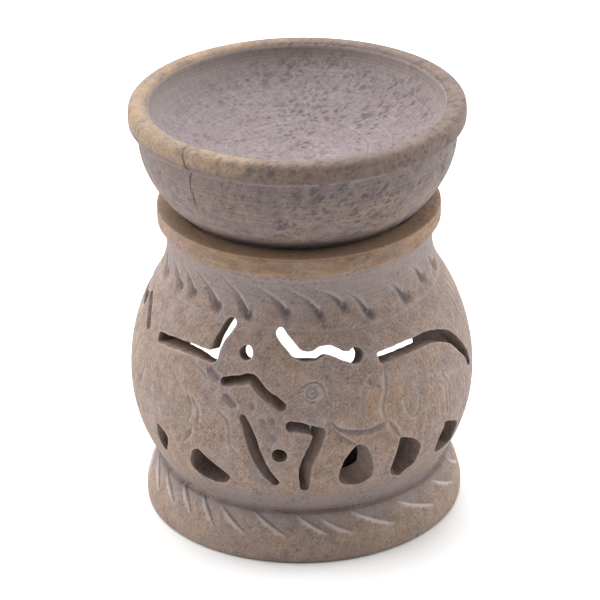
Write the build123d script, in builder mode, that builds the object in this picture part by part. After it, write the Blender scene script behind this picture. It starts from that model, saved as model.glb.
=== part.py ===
"""An essential oil burner carved from soapstone, with its lift-off dish and a tea light, in millimetres.

The burner stands on the plane Z = 0 with its axis on Z. The front is at -Y and the candle door is at +Y.
Angles round the wall are in degrees: 0 at the front, growing towards +X. The pierced frieze of elephants
is drawn in angles and in percent of its own height.
"""
import os
from math import cos, hypot, radians, sin, sqrt

from build123d import *

# Tea light
CUP_RADIUS = 19.0
CUP_HEIGHT = 11.5
CUP_SHEET = 0.3
CUP_BEAD = 0.6
WAX_DROP = 1.2
WAX_SHRINK = 0.1
WICK_RADIUS = 0.7
WICK_STANDOUT = 5.0
SUSTAINER_RADIUS = 6.0
SUSTAINER_SHEET = 0.3
COLLAR_HEIGHT = 3.0
COLLAR_SHEET = 0.4
WICK_CLEARANCE = 0.1

# Foot: a plain band, a sloping top and a turned groove under the belly
FOOT_FLARE = 3.7
FOOT_BAND_HEIGHT = 6.9
FOOT_BAND_TAPER = 0.9
FOOT_SLOPE_HEIGHT = 4.8
FOOT_EDGE = 0.6
GROOVE_HEIGHT = 2.3
GROOVE_DEPTH = 0.8

# Belly, shoulder and neck
WALL = 4.2
BELLY_RISE = 19.0
BELLY_DROP = 5.7
SHOULDER_RISE = 33.0
SHOULDER_DROP = 9.4
WAIST_ROUND = 17.6
COVE_HEIGHT = 5.4
COVE_DEPTH = 2.0
LIP_HEIGHT = 3.65

# Chamber, mouth and seat
CANDLE_ROOM = 16.8
FLOOR_THICKNESS = 13.0
CHAMBER_DROP = 7.5
NECK_WALL = 4.6
BORE_LENGTH = 15.5
SEAT_WIDTH = 1.4
SEAT_CLEARANCE = 0.2

# Door at the back
DOOR_ROOM = 8.0
DOOR_SIDE_HEIGHT = 12.0
DOOR_ARCH_HEIGHT = 24.0

# Dish
DISH_REACH = 10.4
DISH_DEPTH = 26.5
DISH_COLLAR = 2.0
DISH_STEP = 0.7
DISH_LIP_HEIGHT = 4.5
DISH_LIP_OVERHANG = 2.0
DISH_LIP_ROUND = 1.8
DISH_WALL = 2.8
DISH_BEVEL_WIDTH = 1.0
DISH_BEVEL_DROP = 0.9
DISH_FLOOR = 19.8

# Frieze
FRIEZE_HEIGHT = 38.8
FRIEZE_DROP = 14.4
SLOT_WIDTH = 2.4
BACK_SLOT_WIDTH = 2.7
LEG_SLOT_WIDTH = 2.8
SLOT_BEND = 1.5
GAP_CORNER = 1.2
CURL_HOLE_RADIUS = 1.6
NECK_HOLE_RADIUS = 1.7
PLANT_HOLE_RADIUS = 1.75
PROCESSION_STEP = 106.0

# Sawn slots as middle lines of (angle, percent) points. The elephant at the front right walks to the left.
BROW_SLOT = [(-7.4, 98), (-4.1, 92.5), (-1.2, 88), (4.4, 87.5), (9.2, 89.5), (13.9, 87.5), (19.7, 85)]
TRUNK_SLOT = [(-26.9, 70), (-18.1, 74), (-13.3, 67), (-7.3, 59.5)]
CHEST_BAR = [(-3.9, 47.5), (0.5, 46.5), (5.4, 43)]
CHEST_LEG = [(5.4, 43), (3.6, 33), (0.8, 20.5), (0.2, 4.5)]
BACK_SLOT = [(28.6, 81), (45.1, 81.5), (58.8, 78), (68.7, 65.5), (76.4, 47)]
RUMP_SLOT = [(-60.6, 79), (-45.5, 81.5), (-33, 81.5)]
RAISED_TRUNK_SLOT = [(-33, 81.5), (-32, 91), (-29.3, 100)]
TAIL_SLOT = [(-19.7, 50), (-17.7, 41), (-13.4, 17.5), (-10, 8)]
NAPE_SLOT = [(-83.6, 91), (-77.1, 87), (-71.7, 78.5)]

# Gaps between the legs as closed outlines of (angle, percent) points
FRONT_LEG_GAP = [(18.2, 33), (22.6, 24.5), (24, 10), (18.5, 3), (12.4, 7.5), (12.3, 16.5), (15.5, 28)]
BELLY_GAP = [(33.5, 30), (40, 24.5), (43.2, 14), (37.5, 2.5), (31.5, 8), (32.2, 19)]
HIND_LEG_GAP = [(55.4, 26), (67.6, 15), (66.6, 1.5), (53.4, 5), (53, 15)]
LEFT_HIND_LEG_GAP = [(-37.5, 22.5), (-29.9, 12.5), (-26.4, 6), (-31, 0), (-41.6, 6), (-40.6, 19)]
LEFT_BELLY_GAP = [(-57.5, 27), (-51.6, 21), (-55.9, 8.5), (-58.7, 14.5)]

# Drilled holes as (angle, percent)
CURL_HOLE = (-20.5, 87.5)
NECK_HOLE = (19.7, 85)
PLANT_HOLE = (-7.9, 28)

# The burner is built round its candle, so its radii start from the cup
inner_radius = CUP_RADIUS + CANDLE_ROOM
belly_radius = inner_radius + WALL
belly_foot_radius = belly_radius - BELLY_DROP
groove_radius = belly_foot_radius - GROOVE_DEPTH
foot_radius = groove_radius + FOOT_FLARE
waist_radius = belly_radius - SHOULDER_DROP
lip_radius = waist_radius + COVE_DEPTH
mouth_radius = waist_radius - NECK_WALL
chamber_floor_radius = inner_radius - CHAMBER_DROP
door_width = 2 * (CUP_RADIUS + DOOR_ROOM)

# Heights from the foot upwards
groove_z = FOOT_BAND_HEIGHT + FOOT_SLOPE_HEIGHT
belly_foot_z = groove_z + GROOVE_HEIGHT
belly_z = belly_foot_z + BELLY_RISE
waist_z = belly_z + SHOULDER_RISE
lip_z = waist_z + COVE_HEIGHT
neck_z = lip_z + LIP_HEIGHT
bore_z = neck_z - BORE_LENGTH
door_spring_z = FLOOR_THICKNESS + DOOR_SIDE_HEIGHT


def upright_arc_radius(rise, run):
    """Radius of an arc that starts upright, rises by one length and runs sideways by another."""
    return (rise**2 + run**2) / (2 * run)


# Arcs of the wall: under the belly, over it, and hollow up to the waist
under_round = upright_arc_radius(BELLY_RISE, BELLY_DROP)
shoulder_round = upright_arc_radius(SHOULDER_RISE, SHOULDER_DROP) - WAIST_ROUND
shoulder_turn = SHOULDER_RISE / (shoulder_round + WAIST_ROUND)
shoulder_end_z = belly_z + shoulder_round * shoulder_turn
shoulder_end_radius = belly_radius - shoulder_round * (1 - sqrt(1 - shoulder_turn**2))
inner_under_round = upright_arc_radius(belly_z - FLOOR_THICKNESS, CHAMBER_DROP)
inner_shoulder_round = upright_arc_radius(bore_z - belly_z, inner_radius - mouth_radius)

# The dish's underside is half an ellipsoid that comes down on a conical seat in the mouth
dish_radius = mouth_radius + DISH_REACH
seat_radius = mouth_radius + SEAT_WIDTH / 2
seat_level = sqrt(1 - (seat_radius / dish_radius) ** 2)
seat_slope = DISH_DEPTH * seat_radius / (dish_radius**2 * seat_level)
seat_drop = SEAT_WIDTH * seat_slope
dish_z = neck_z - seat_drop / 2 + SEAT_CLEARANCE * hypot(1, seat_slope) + DISH_DEPTH * seat_level
collar_z = dish_z + DISH_COLLAR
rim_z = collar_z + DISH_STEP + DISH_LIP_HEIGHT
dish_lip_radius = dish_radius + DISH_LIP_OVERHANG
bowl_radius = dish_radius - DISH_WALL
bowl_z = rim_z - DISH_BEVEL_DROP
bowl_floor_z = dish_z - DISH_DEPTH + DISH_FLOOR

# The tea light stands on the chamber's floor
cup_top_z = FLOOR_THICKNESS + CUP_HEIGHT
wax_z = FLOOR_THICKNESS + CUP_SHEET
wax_top_z = cup_top_z - WAX_DROP
wick_z = wax_z + SUSTAINER_SHEET
wick_top_z = wax_top_z + WICK_STANDOUT
cup_wall_radius = CUP_RADIUS - CUP_BEAD
wax_radius = cup_wall_radius - CUP_SHEET - WAX_SHRINK
wick_bore_radius = WICK_RADIUS + WICK_CLEARANCE
collar_radius = wick_bore_radius + COLLAR_SHEET
disc_pocket_radius = SUSTAINER_RADIUS + WICK_CLEARANCE
disc_pocket_z = wick_z + WICK_CLEARANCE
collar_pocket_radius = collar_radius + WICK_CLEARANCE
collar_pocket_z = disc_pocket_z + COLLAR_HEIGHT


def frieze_z(percent):
    """Height of a point of the frieze."""
    return belly_z - FRIEZE_DROP + FRIEZE_HEIGHT * percent / 100


def wall_radius(z):
    """Outer radius of the belly and shoulder at a height."""
    if z < belly_z:
        return belly_radius - under_round + sqrt(under_round**2 - (z - belly_z) ** 2)
    if z < shoulder_end_z:
        return belly_radius - shoulder_round + sqrt(shoulder_round**2 - (z - belly_z) ** 2)
    return waist_radius + WAIST_ROUND - sqrt(WAIST_ROUND**2 - (waist_z - z) ** 2)


def wall_plane(angle):
    """Upright plane through the axis that faces out of the wall at an angle, with its Y up."""
    turn = radians(angle)
    return Plane(origin=(0, 0, 0), x_dir=(cos(turn), sin(turn), 0), z_dir=(sin(turn), -cos(turn), 0))


def middle_angle(points):
    """Angle half way between the outermost points of a cut."""
    angles = [angle for angle, _ in points]
    return (min(angles) + max(angles)) / 2


def on_wall(points):
    """Points of a cut, seen square on from its middle angle."""
    facing = middle_angle(points)
    levels = [(angle - facing, frieze_z(percent)) for angle, percent in points]
    return [(wall_radius(z) * sin(radians(angle)), z) for angle, z in levels]


def turned(points, step):
    """The same cut further round the wall."""
    return [(angle + step, percent) for angle, percent in points]


# The elephant on the left repeats the one on the right, one step behind the front
head_slots = [
    (BROW_SLOT, SLOT_WIDTH),
    (TRUNK_SLOT, SLOT_WIDTH),
    (CHEST_BAR, SLOT_WIDTH),
    (CHEST_LEG, LEG_SLOT_WIDTH),
]
head_holes = [(CURL_HOLE, CURL_HOLE_RADIUS), (NECK_HOLE, NECK_HOLE_RADIUS)]
slots = head_slots + [
    (BACK_SLOT, BACK_SLOT_WIDTH),
    (RUMP_SLOT, SLOT_WIDTH),
    (RAISED_TRUNK_SLOT, SLOT_WIDTH),
    (TAIL_SLOT, SLOT_WIDTH),
    (NAPE_SLOT, SLOT_WIDTH),
    (turned(TAIL_SLOT, PROCESSION_STEP), SLOT_WIDTH),
]
slots += [(turned(points, -PROCESSION_STEP), width) for points, width in head_slots]
gaps = [FRONT_LEG_GAP, BELLY_GAP, HIND_LEG_GAP, LEFT_HIND_LEG_GAP, LEFT_BELLY_GAP]
gaps += [turned(FRONT_LEG_GAP, -PROCESSION_STEP)]
holes = head_holes + [(PLANT_HOLE, PLANT_HOLE_RADIUS)]
holes += [(turned([place], -PROCESSION_STEP)[0], radius) for place, radius in head_holes]
holes += [(turned([PLANT_HOLE], PROCESSION_STEP)[0], PLANT_HOLE_RADIUS)]

# The pot: turned outside, hollowed, with its mouth bevelled as a seat
with BuildPart() as pot:
    with BuildSketch(Plane.XZ):
        with BuildLine():
            Polyline(
                (0, 0),
                (foot_radius - FOOT_EDGE, 0),
                (foot_radius, FOOT_EDGE),
                (foot_radius, FOOT_BAND_HEIGHT / 2),
                (foot_radius - FOOT_BAND_TAPER, FOOT_BAND_HEIGHT),
                (groove_radius, groove_z),
                (belly_foot_radius, belly_foot_z),
            )
            RadiusArc((belly_foot_radius, belly_foot_z), (belly_radius, belly_z), -under_round)
            RadiusArc((belly_radius, belly_z), (shoulder_end_radius, shoulder_end_z), -shoulder_round)
            RadiusArc((shoulder_end_radius, shoulder_end_z), (waist_radius, waist_z), WAIST_ROUND)
            TangentArc((waist_radius, waist_z), (lip_radius, lip_z), tangent=(0, 1))
            Polyline((lip_radius, lip_z), (lip_radius, neck_z), (0, neck_z), (0, 0))
        make_face()
    revolve(axis=Axis.Z)

    with BuildSketch(Plane.XZ):
        with BuildLine():
            Polyline((0, neck_z), (0, FLOOR_THICKNESS), (chamber_floor_radius, FLOOR_THICKNESS))
            RadiusArc((chamber_floor_radius, FLOOR_THICKNESS), (inner_radius, belly_z), -inner_under_round)
            RadiusArc((inner_radius, belly_z), (mouth_radius, bore_z), -inner_shoulder_round)
            Polyline(
                (mouth_radius, bore_z),
                (mouth_radius, neck_z - seat_drop),
                (mouth_radius + SEAT_WIDTH, neck_z),
                (0, neck_z),
            )
        make_face()
    revolve(axis=Axis.Z, mode=Mode.SUBTRACT)

    # The candle door, level with the chamber's floor
    cut_reach = belly_radius + WALL
    with BuildSketch(wall_plane(180)):
        with BuildLine():
            Polyline(
                (-door_width / 2, door_spring_z),
                (-door_width / 2, FLOOR_THICKNESS),
                (door_width / 2, FLOOR_THICKNESS),
                (door_width / 2, door_spring_z),
            )
            ThreePointArc(
                (door_width / 2, door_spring_z),
                (0, door_spring_z + DOOR_ARCH_HEIGHT),
                (-door_width / 2, door_spring_z),
            )
        make_face()
    extrude(amount=cut_reach, mode=Mode.SUBTRACT)

    # The pierced frieze
    cuts = []
    for points, width in slots:
        with BuildSketch(wall_plane(middle_angle(points))):
            with BuildLine():
                FilletPolyline(*on_wall(points), radius=SLOT_BEND)
                offset(amount=width / 2)
            make_face()
        cuts.append(extrude(amount=cut_reach, mode=Mode.PRIVATE))
    for points in gaps:
        with BuildSketch(wall_plane(middle_angle(points))):
            with BuildLine():
                FilletPolyline(*on_wall(points), radius=GAP_CORNER, close=True)
            make_face()
        cuts.append(extrude(amount=cut_reach, mode=Mode.PRIVATE))
    for (angle, percent), radius in holes:
        with BuildSketch(wall_plane(angle)):
            with Locations((0, frieze_z(percent))):
                Circle(radius)
        cuts.append(extrude(amount=cut_reach, mode=Mode.PRIVATE))
    add(cuts, mode=Mode.SUBTRACT)
pot.part.label = "pot"

# The dish: a thick bowl with a rounded lip, whose round underside sits in the mouth
with BuildPart() as dish:
    with BuildSketch(Plane.XZ):
        with BuildLine():
            EllipticalCenterArc((0, dish_z), dish_radius, DISH_DEPTH, start_angle=270, arc_size=90)
            Polyline(
                (dish_radius, dish_z),
                (dish_radius, collar_z),
                (dish_lip_radius, collar_z + DISH_STEP),
                (dish_lip_radius, rim_z - DISH_LIP_ROUND),
            )
            RadiusArc(
                (dish_lip_radius, rim_z - DISH_LIP_ROUND),
                (dish_lip_radius - DISH_LIP_ROUND, rim_z),
                -DISH_LIP_ROUND,
            )
            Polyline(
                (dish_lip_radius - DISH_LIP_ROUND, rim_z),
                (bowl_radius + DISH_BEVEL_WIDTH, rim_z),
                (bowl_radius, bowl_z),
            )
            EllipticalCenterArc((0, bowl_z), bowl_radius, bowl_z - bowl_floor_z, start_angle=270, arc_size=90)
            Line((0, bowl_floor_z), (0, dish_z - DISH_DEPTH))
        make_face()
    revolve(axis=Axis.Z)
dish.part.label = "dish"

# The tea light's pressed cup, with a rolled bead round its top
with BuildPart() as tea_light_cup:
    with BuildSketch(Plane.XZ):
        with BuildLine():
            Polyline(
                (0, FLOOR_THICKNESS),
                (cup_wall_radius, FLOOR_THICKNESS),
                (cup_wall_radius, cup_top_z - CUP_BEAD),
                (CUP_RADIUS, cup_top_z - CUP_BEAD),
                (CUP_RADIUS, cup_top_z),
                (cup_wall_radius - CUP_SHEET, cup_top_z),
                (cup_wall_radius - CUP_SHEET, wax_z),
                (0, wax_z),
                close=True,
            )
        make_face()
    revolve(axis=Axis.Z)
tea_light_cup.part.label = "tea_light_cup"

# The wax, cast round the sustainer and the wick
with BuildPart() as tea_light_wax:
    with BuildSketch(Plane.XZ):
        with BuildLine():
            Polyline(
                (wick_bore_radius, wax_top_z),
                (wax_radius, wax_top_z),
                (wax_radius, wax_z),
                (disc_pocket_radius, wax_z),
                (disc_pocket_radius, disc_pocket_z),
                (collar_pocket_radius, disc_pocket_z),
                (collar_pocket_radius, collar_pocket_z),
                (wick_bore_radius, collar_pocket_z),
                close=True,
            )
        make_face()
    revolve(axis=Axis.Z)
tea_light_wax.part.label = "tea_light_wax"

# The sustainer: a disc with a collar that grips the wick
with BuildPart() as wick_sustainer:
    with BuildSketch(Plane.XY.offset(wax_z)):
        Circle(SUSTAINER_RADIUS)
    extrude(amount=SUSTAINER_SHEET)
    with BuildSketch(Plane.XY.offset(wick_z)):
        Circle(collar_radius)
        Circle(wick_bore_radius, mode=Mode.SUBTRACT)
    extrude(amount=COLLAR_HEIGHT)
wick_sustainer.part.label = "wick_sustainer"

# The wick stands on the disc and comes up through the wax
with BuildPart() as wick:
    with BuildSketch(Plane.XY.offset(wick_z)):
        Circle(WICK_RADIUS)
    extrude(amount=wick_top_z - wick_z)
wick.part.label = "wick"

os.makedirs("parts", exist_ok=True)
for piece in (pot, dish, tea_light_cup, tea_light_wax, wick_sustainer, wick):
    export_step(piece.part, f"parts/{piece.part.label}.step")
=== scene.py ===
"""Dressed scene of a pierced soapstone oil burner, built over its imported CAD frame."""

import logging
import math
from dataclasses import dataclass, field, replace
from enum import Enum
from typing import Callable, Sequence, Union

import bmesh
import bpy
import numpy as np
from mathutils import Matrix, Vector
from mathutils.geometry import delaunay_2d_cdt
from mathutils.kdtree import KDTree


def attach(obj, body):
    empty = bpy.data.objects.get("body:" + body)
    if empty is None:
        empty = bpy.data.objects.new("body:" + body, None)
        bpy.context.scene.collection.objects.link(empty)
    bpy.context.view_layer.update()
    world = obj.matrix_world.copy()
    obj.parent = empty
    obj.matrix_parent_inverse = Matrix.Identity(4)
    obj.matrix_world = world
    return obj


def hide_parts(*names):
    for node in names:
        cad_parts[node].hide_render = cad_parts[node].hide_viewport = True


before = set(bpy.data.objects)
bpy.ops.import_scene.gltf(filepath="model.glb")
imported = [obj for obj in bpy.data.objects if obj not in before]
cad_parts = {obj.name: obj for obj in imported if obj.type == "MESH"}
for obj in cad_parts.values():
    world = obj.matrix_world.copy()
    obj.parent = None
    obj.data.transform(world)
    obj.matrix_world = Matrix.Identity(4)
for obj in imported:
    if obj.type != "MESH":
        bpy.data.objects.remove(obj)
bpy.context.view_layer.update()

LOG = logging.getLogger("oil_burner")
MM = 0.001
WELD = 0.004 * MM

Pair = tuple[float, float]
Line = tuple[Pair, ...]
Colour = tuple[float, float, float]
Feed = Union[bpy.types.NodeSocket, float, int, str, bool, tuple]


def smooth_line(points: Sequence[Pair], step: float) -> np.ndarray:
    """Carry a smooth curve through a few points.

    Args:
        points: The points in order.
        step: Greatest distance between two points of the curve.

    Returns:
        The curve's points, one row each.
    """
    knots = np.array(points, float)
    run = np.vstack([2 * knots[0] - knots[1], knots, 2 * knots[-1] - knots[-2]])
    parts = []
    for a, b, c, d in zip(run, run[1:], run[2:], run[3:]):
        count = max(2, math.ceil(np.linalg.norm(c - b) / step))
        t = np.linspace(0, 1, count, endpoint=False)[:, None]
        curve = 2 * b + (c - a) * t + (2 * a - 5 * b + 4 * c - d) * t**2 + (3 * b - a - 3 * c + d) * t**3
        parts.append(curve / 2)
    return np.vstack([*parts, knots[-1:]])


def resample(points: np.ndarray, step: float, closed: bool = False) -> np.ndarray:
    """Space the points of a line evenly.

    Args:
        points: The line's points.
        step: Wanted distance between neighbours.
        closed: Whether the last point joins the first.

    Returns:
        The evenly spaced points.
    """
    run = np.vstack([points, points[:1]]) if closed else points
    length = np.concatenate([[0], np.cumsum(np.linalg.norm(np.diff(run, axis=0), axis=1))])
    count = max(8, round(length[-1] / step))
    marks = np.linspace(0, length[-1], count if closed else count + 1, endpoint=not closed)
    return np.stack([np.interp(marks, length, run[:, k]) for k in range(run.shape[1])], axis=1)


def cut_corners(points: Sequence[Pair], rounds: int) -> np.ndarray:
    """Round a closed outline by cutting its corners again and again.

    Args:
        points: The outline's corners.
        rounds: How often the corners are cut.

    Returns:
        The rounded outline.
    """
    run = np.array(points, float)
    for _ in range(rounds):
        after = np.roll(run, -1, axis=0)
        run = np.stack([0.82 * run + 0.18 * after, 0.18 * run + 0.82 * after], axis=1).reshape(-1, 2)
    return run


def to_segments(at: np.ndarray, run: np.ndarray) -> tuple[np.ndarray, np.ndarray]:
    """Measure points against the straight pieces of a line.

    Args:
        at: The points to measure from.
        run: The line's points.

    Returns:
        Distances of every point to every piece, and how far along each piece the nearest place is.
    """
    a = run[:-1][None]
    way = (run[1:] - run[:-1])[None]
    off = at[:, None] - a
    share = np.clip((off * way).sum(2) / np.maximum((way**2).sum(2), 1e-9), 0, 1)
    return np.linalg.norm(off - share[..., None] * way, axis=2), share


def soft_min(a: np.ndarray, b: np.ndarray, blend: float) -> np.ndarray:
    """Take the smaller of two distances with a rounded change between them."""
    mix = np.clip(0.5 + 0.5 * (b - a) / blend, 0, 1)
    return b * (1 - mix) + a * mix - blend * mix * (1 - mix)


def trace(distance: Callable[[np.ndarray], np.ndarray], low: Pair, high: Pair, step: float) -> np.ndarray:
    """Find the closed outline on which a distance is nought.

    Args:
        distance: Signed distance of points, below nought inside.
        low: Lower left corner of the search.
        high: Upper right corner of the search.
        step: Size of a search cell.

    Returns:
        The outline's points, anticlockwise.
    """
    xs = np.arange(low[0], high[0] + step, step)
    zs = np.arange(low[1], high[1] + step, step)
    spots = np.stack(np.meshgrid(xs, zs, indexing="ij"), axis=-1)
    level = distance(spots.reshape(-1, 2)).reshape(len(xs), len(zs))
    inside = level < 0
    count = inside[:-1, :-1].astype(int) + inside[1:, :-1] + inside[1:, 1:] + inside[:-1, 1:]
    follow: dict[tuple, tuple] = {}
    place: dict[tuple, np.ndarray] = {}
    for i, j in np.argwhere((count > 0) & (count < 4)):
        corners = [(i, j), (i + 1, j), (i + 1, j + 1), (i, j + 1)]
        edges = [(0, i, j), (1, i + 1, j), (0, i, j + 1), (1, i, j)]
        leaving = []
        entering = []
        for k in range(4):
            p, q = corners[k], corners[(k + 1) % 4]
            if inside[p] == inside[q]:
                continue
            share = level[p] / (level[p] - level[q])
            place[edges[k]] = spots[p] * (1 - share) + spots[q] * share
            (leaving if inside[p] else entering).append(k)
        for k in leaving:
            back = min(entering, key=lambda m: (k - m) % 4)
            follow[edges[k]] = edges[back]
    start = next(iter(follow))
    path = [start]
    while follow[path[-1]] != start:
        path.append(follow[path[-1]])
    return np.array([place[key] for key in path])


def slope_of(distance: Callable[[np.ndarray], np.ndarray], at: np.ndarray) -> np.ndarray:
    """Direction in which a distance grows fastest, as unit vectors."""
    small = 0.02
    step_x, step_z = np.array([small, 0]), np.array([0, small])
    across = distance(at + step_x) - distance(at - step_x)
    upwards = distance(at + step_z) - distance(at - step_z)
    grow = np.stack([across, upwards], axis=1)
    return grow / np.maximum(np.linalg.norm(grow, axis=1, keepdims=True), 1e-9)


class Desk:
    """Builds one node tree in few words."""

    def __init__(self, tree: bpy.types.NodeTree) -> None:
        """Start with an empty tree."""
        self.tree = tree
        tree.nodes.clear()

    def add(self, kind: str, inputs: dict | None = None, **settings: object) -> bpy.types.Node:
        """Add one node.

        Args:
            kind: The node's type.
            inputs: What goes into its sockets, by name or index: a value or another node's socket.
            settings: The node's own settings.

        Returns:
            The node.
        """
        node = self.tree.nodes.new(kind)
        for name, value in settings.items():
            setattr(node, name, value)
        for key, value in (inputs or {}).items():
            self.feed(node.inputs[key], value)
        return node

    def feed(self, socket: bpy.types.NodeSocket, value: Feed) -> None:
        """Give a socket a value or a link."""
        if isinstance(value, bpy.types.NodeSocket):
            self.tree.links.new(value, socket)
        else:
            socket.default_value = value

    def math(self, operation: str, *values: Feed, clamp: bool = False) -> bpy.types.NodeSocket:
        """Work out one sum of numbers."""
        node = self.add("ShaderNodeMath", dict(enumerate(values)), operation=operation, use_clamp=clamp)
        return node.outputs[0]

    def vector(self, operation: str, *values: Feed) -> bpy.types.Node:
        """Work out one sum of vectors."""
        return self.add("ShaderNodeVectorMath", dict(enumerate(values)), operation=operation)

    def span(
        self, value: Feed, low: float, high: float, to_low: float = 0.0, to_high: float = 1.0
    ) -> bpy.types.NodeSocket:
        """Bring a number from one range to another, smoothly and held at both ends."""
        inputs = {"Value": value, "From Min": low, "From Max": high, "To Min": to_low, "To Max": to_high}
        return self.add("ShaderNodeMapRange", inputs, interpolation_type="SMOOTHSTEP").outputs[0]


class Tree(Desk):
    """A Geometry Nodes tree with named inputs."""

    def __init__(self, name: str, inputs: dict[str, str]) -> None:
        """Make the tree.

        Args:
            name: Its name.
            inputs: Names of its inputs after the geometry, with their socket types.
        """
        super().__init__(bpy.data.node_groups.new(name, "GeometryNodeTree"))
        face = self.tree.interface
        face.new_socket("Geometry", in_out="INPUT", socket_type="NodeSocketGeometry")
        face.new_socket("Geometry", in_out="OUTPUT", socket_type="NodeSocketGeometry")
        self.names = {}
        for title, kind in inputs.items():
            self.names[title] = face.new_socket(title, in_out="INPUT", socket_type=kind).identifier
        self.start = self.add("NodeGroupInput").outputs
        self.end = self.add("NodeGroupOutput").inputs

    def field(self, name: str, kind: str = "FLOAT") -> bpy.types.NodeSocket:
        """Read a named attribute."""
        node = self.add("GeometryNodeInputNamedAttribute", {"Name": name}, data_type=kind)
        return node.outputs["Attribute"]

    def store(self, geometry: Feed, name: str, value: Feed) -> bpy.types.NodeSocket:
        """Keep a number on every point."""
        inputs = {"Geometry": geometry, "Name": name, "Value": value}
        node = self.add("GeometryNodeStoreNamedAttribute", inputs, data_type="FLOAT", domain="POINT")
        return node.outputs[0]

    def close(self, geometry: Feed, material: Feed) -> None:
        """End the tree with realised, smooth geometry in one material."""
        real = self.add("GeometryNodeRealizeInstances", {"Geometry": geometry}).outputs[0]
        smooth = self.add("GeometryNodeSetShadeSmooth", {"Geometry": real}).outputs[0]
        dressed = self.add("GeometryNodeSetMaterial", {"Geometry": smooth, "Material": material}).outputs[0]
        self.feed(self.end[0], dressed)

    def run(self, piece: bpy.types.Object, values: dict[str, object]) -> None:
        """Run the tree on an object and keep the result as its plain mesh.

        Args:
            piece: The object.
            values: Values for the tree's named inputs.
        """
        modifier = piece.modifiers.new(self.tree.name, "NODES")
        modifier.node_group = self.tree
        for title, value in values.items():
            modifier[self.names[title]] = value
        bpy.context.view_layer.update()
        ready = piece.evaluated_get(bpy.context.evaluated_depsgraph_get())
        made = bpy.data.meshes.new_from_object(ready)
        piece.modifiers.remove(modifier)
        old = piece.data
        piece.data = made
        made.name = piece.name
        bpy.data.meshes.remove(old)


def add_object(name: str, mesh: bpy.types.Mesh) -> bpy.types.Object:
    """Put a mesh into the scene as an object at the origin."""
    piece = bpy.data.objects.new(name, mesh)
    bpy.context.scene.collection.objects.link(piece)
    return piece


def add_field(mesh: bpy.types.Mesh, name: str, values: np.ndarray) -> None:
    """Keep one number for every vertex of a mesh."""
    mesh.attributes.new(name, "FLOAT", "POINT").data.foreach_set("value", np.asarray(values, np.float32))


@dataclass
class Section:
    """Half of a turned outline, as points of (radius, height) in millimetres."""

    points: list[Pair] = field(default_factory=list)

    def line(self, *corners: Pair) -> "Section":
        """Go straight from corner to corner."""
        self.points += corners
        return self

    def arc(self, centre: Pair, size: Pair, start: float, end: float) -> "Section":
        """Go round an arc.

        Args:
            centre: Its centre.
            size: Its radius across and its radius upwards.
            start: First angle in degrees, 0 outwards and 90 upwards.
            end: Last angle in degrees.

        Returns:
            The section itself.
        """
        turns = np.radians(np.linspace(start, end, 90))
        spots = zip(centre[0] + size[0] * np.cos(turns), centre[1] + size[1] * np.sin(turns))
        self.points += [(float(r), float(z)) for r, z in spots]
        return self

    def worn(self, wear: float, step: float = 0.05) -> np.ndarray:
        """Take the sharpness off the corners, as sanding does.

        Args:
            wear: Width over which a corner is rounded.
            step: Distance between the points that are given back.

        Returns:
            Close points of (radius, height) with both ends kept.
        """
        run = resample(np.array(self.points), step)
        reach = math.ceil(3 * wear / step)
        weights = np.exp(-0.5 * (np.arange(-reach, reach + 1) * step / wear) ** 2)
        weights /= weights.sum()
        before = 2 * run[0] - run[reach:0:-1]
        after = 2 * run[-1] - run[-2 : -reach - 2 : -1]
        padded = np.vstack([before, run, after])
        return np.stack([np.convolve(padded[:, k], weights, mode="valid") for k in range(2)], axis=1)


def along(run: np.ndarray) -> np.ndarray:
    """Length along a line at each of its points."""
    return np.concatenate([[0], np.cumsum(np.linalg.norm(np.diff(run, axis=0), axis=1))])


def pick_rows(run: np.ndarray, widest: np.ndarray, bend: float) -> np.ndarray:
    """Choose the points of a close line that a mesh needs.

    Args:
        run: The line's points.
        widest: Greatest distance to the next row, at each point.
        bend: Greatest turn between two rows in degrees.

    Returns:
        Indices of the chosen points.
    """
    way = np.diff(run, axis=0)
    heading = np.unwrap(np.arctan2(way[:, 1], way[:, 0]))
    length = along(run)
    rows = [0]
    for k in range(1, len(run) - 1):
        turned = abs(heading[k] - heading[rows[-1]]) > math.radians(bend)
        if turned or length[k + 1] - length[rows[-1]] > widest[k]:
            rows.append(k)
    return np.array([*rows, len(run) - 1])


class SlotEnd(Enum):
    """How the saw left the two ends of a slot."""

    ROUND = "round at both ends"
    SQUARE_START = "square where it starts"


@dataclass(frozen=True)
class Slot:
    """A sawn slot: its middle line in (angle, height) and its half widths from start to end."""

    line: Line
    halves: tuple[float, ...]
    end: SlotEnd = SlotEnd.ROUND

    def distance(self, at: np.ndarray, flat: Callable[[Sequence[Pair]], np.ndarray]) -> np.ndarray:
        """Measure how far points are from the slot's edge.

        Args:
            at: Points on the sheet that faces the slot.
            flat: Lays (angle, height) points on that sheet.

        Returns:
            Distances, below nought inside the slot.
        """
        run = smooth_line(flat(self.line), 0.6)
        size = np.interp(np.linspace(0, 1, len(run)), np.linspace(0, 1, len(self.halves)), self.halves)
        back = (run[0] - run[1]) / np.linalg.norm(run[0] - run[1])
        if self.end is SlotEnd.SQUARE_START:
            run = np.vstack([run[0] + 2 * back, run])
            size = np.concatenate([size[:1], size])
        gap, share = to_segments(at, run)
        level = (gap - size[:-1] * (1 - share) - size[1:] * share).min(axis=1)
        if self.end is SlotEnd.SQUARE_START:
            past = (at - run[1]) @ back - 0.4
            level = -soft_min(-level, -past, 0.5)
        return level


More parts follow.
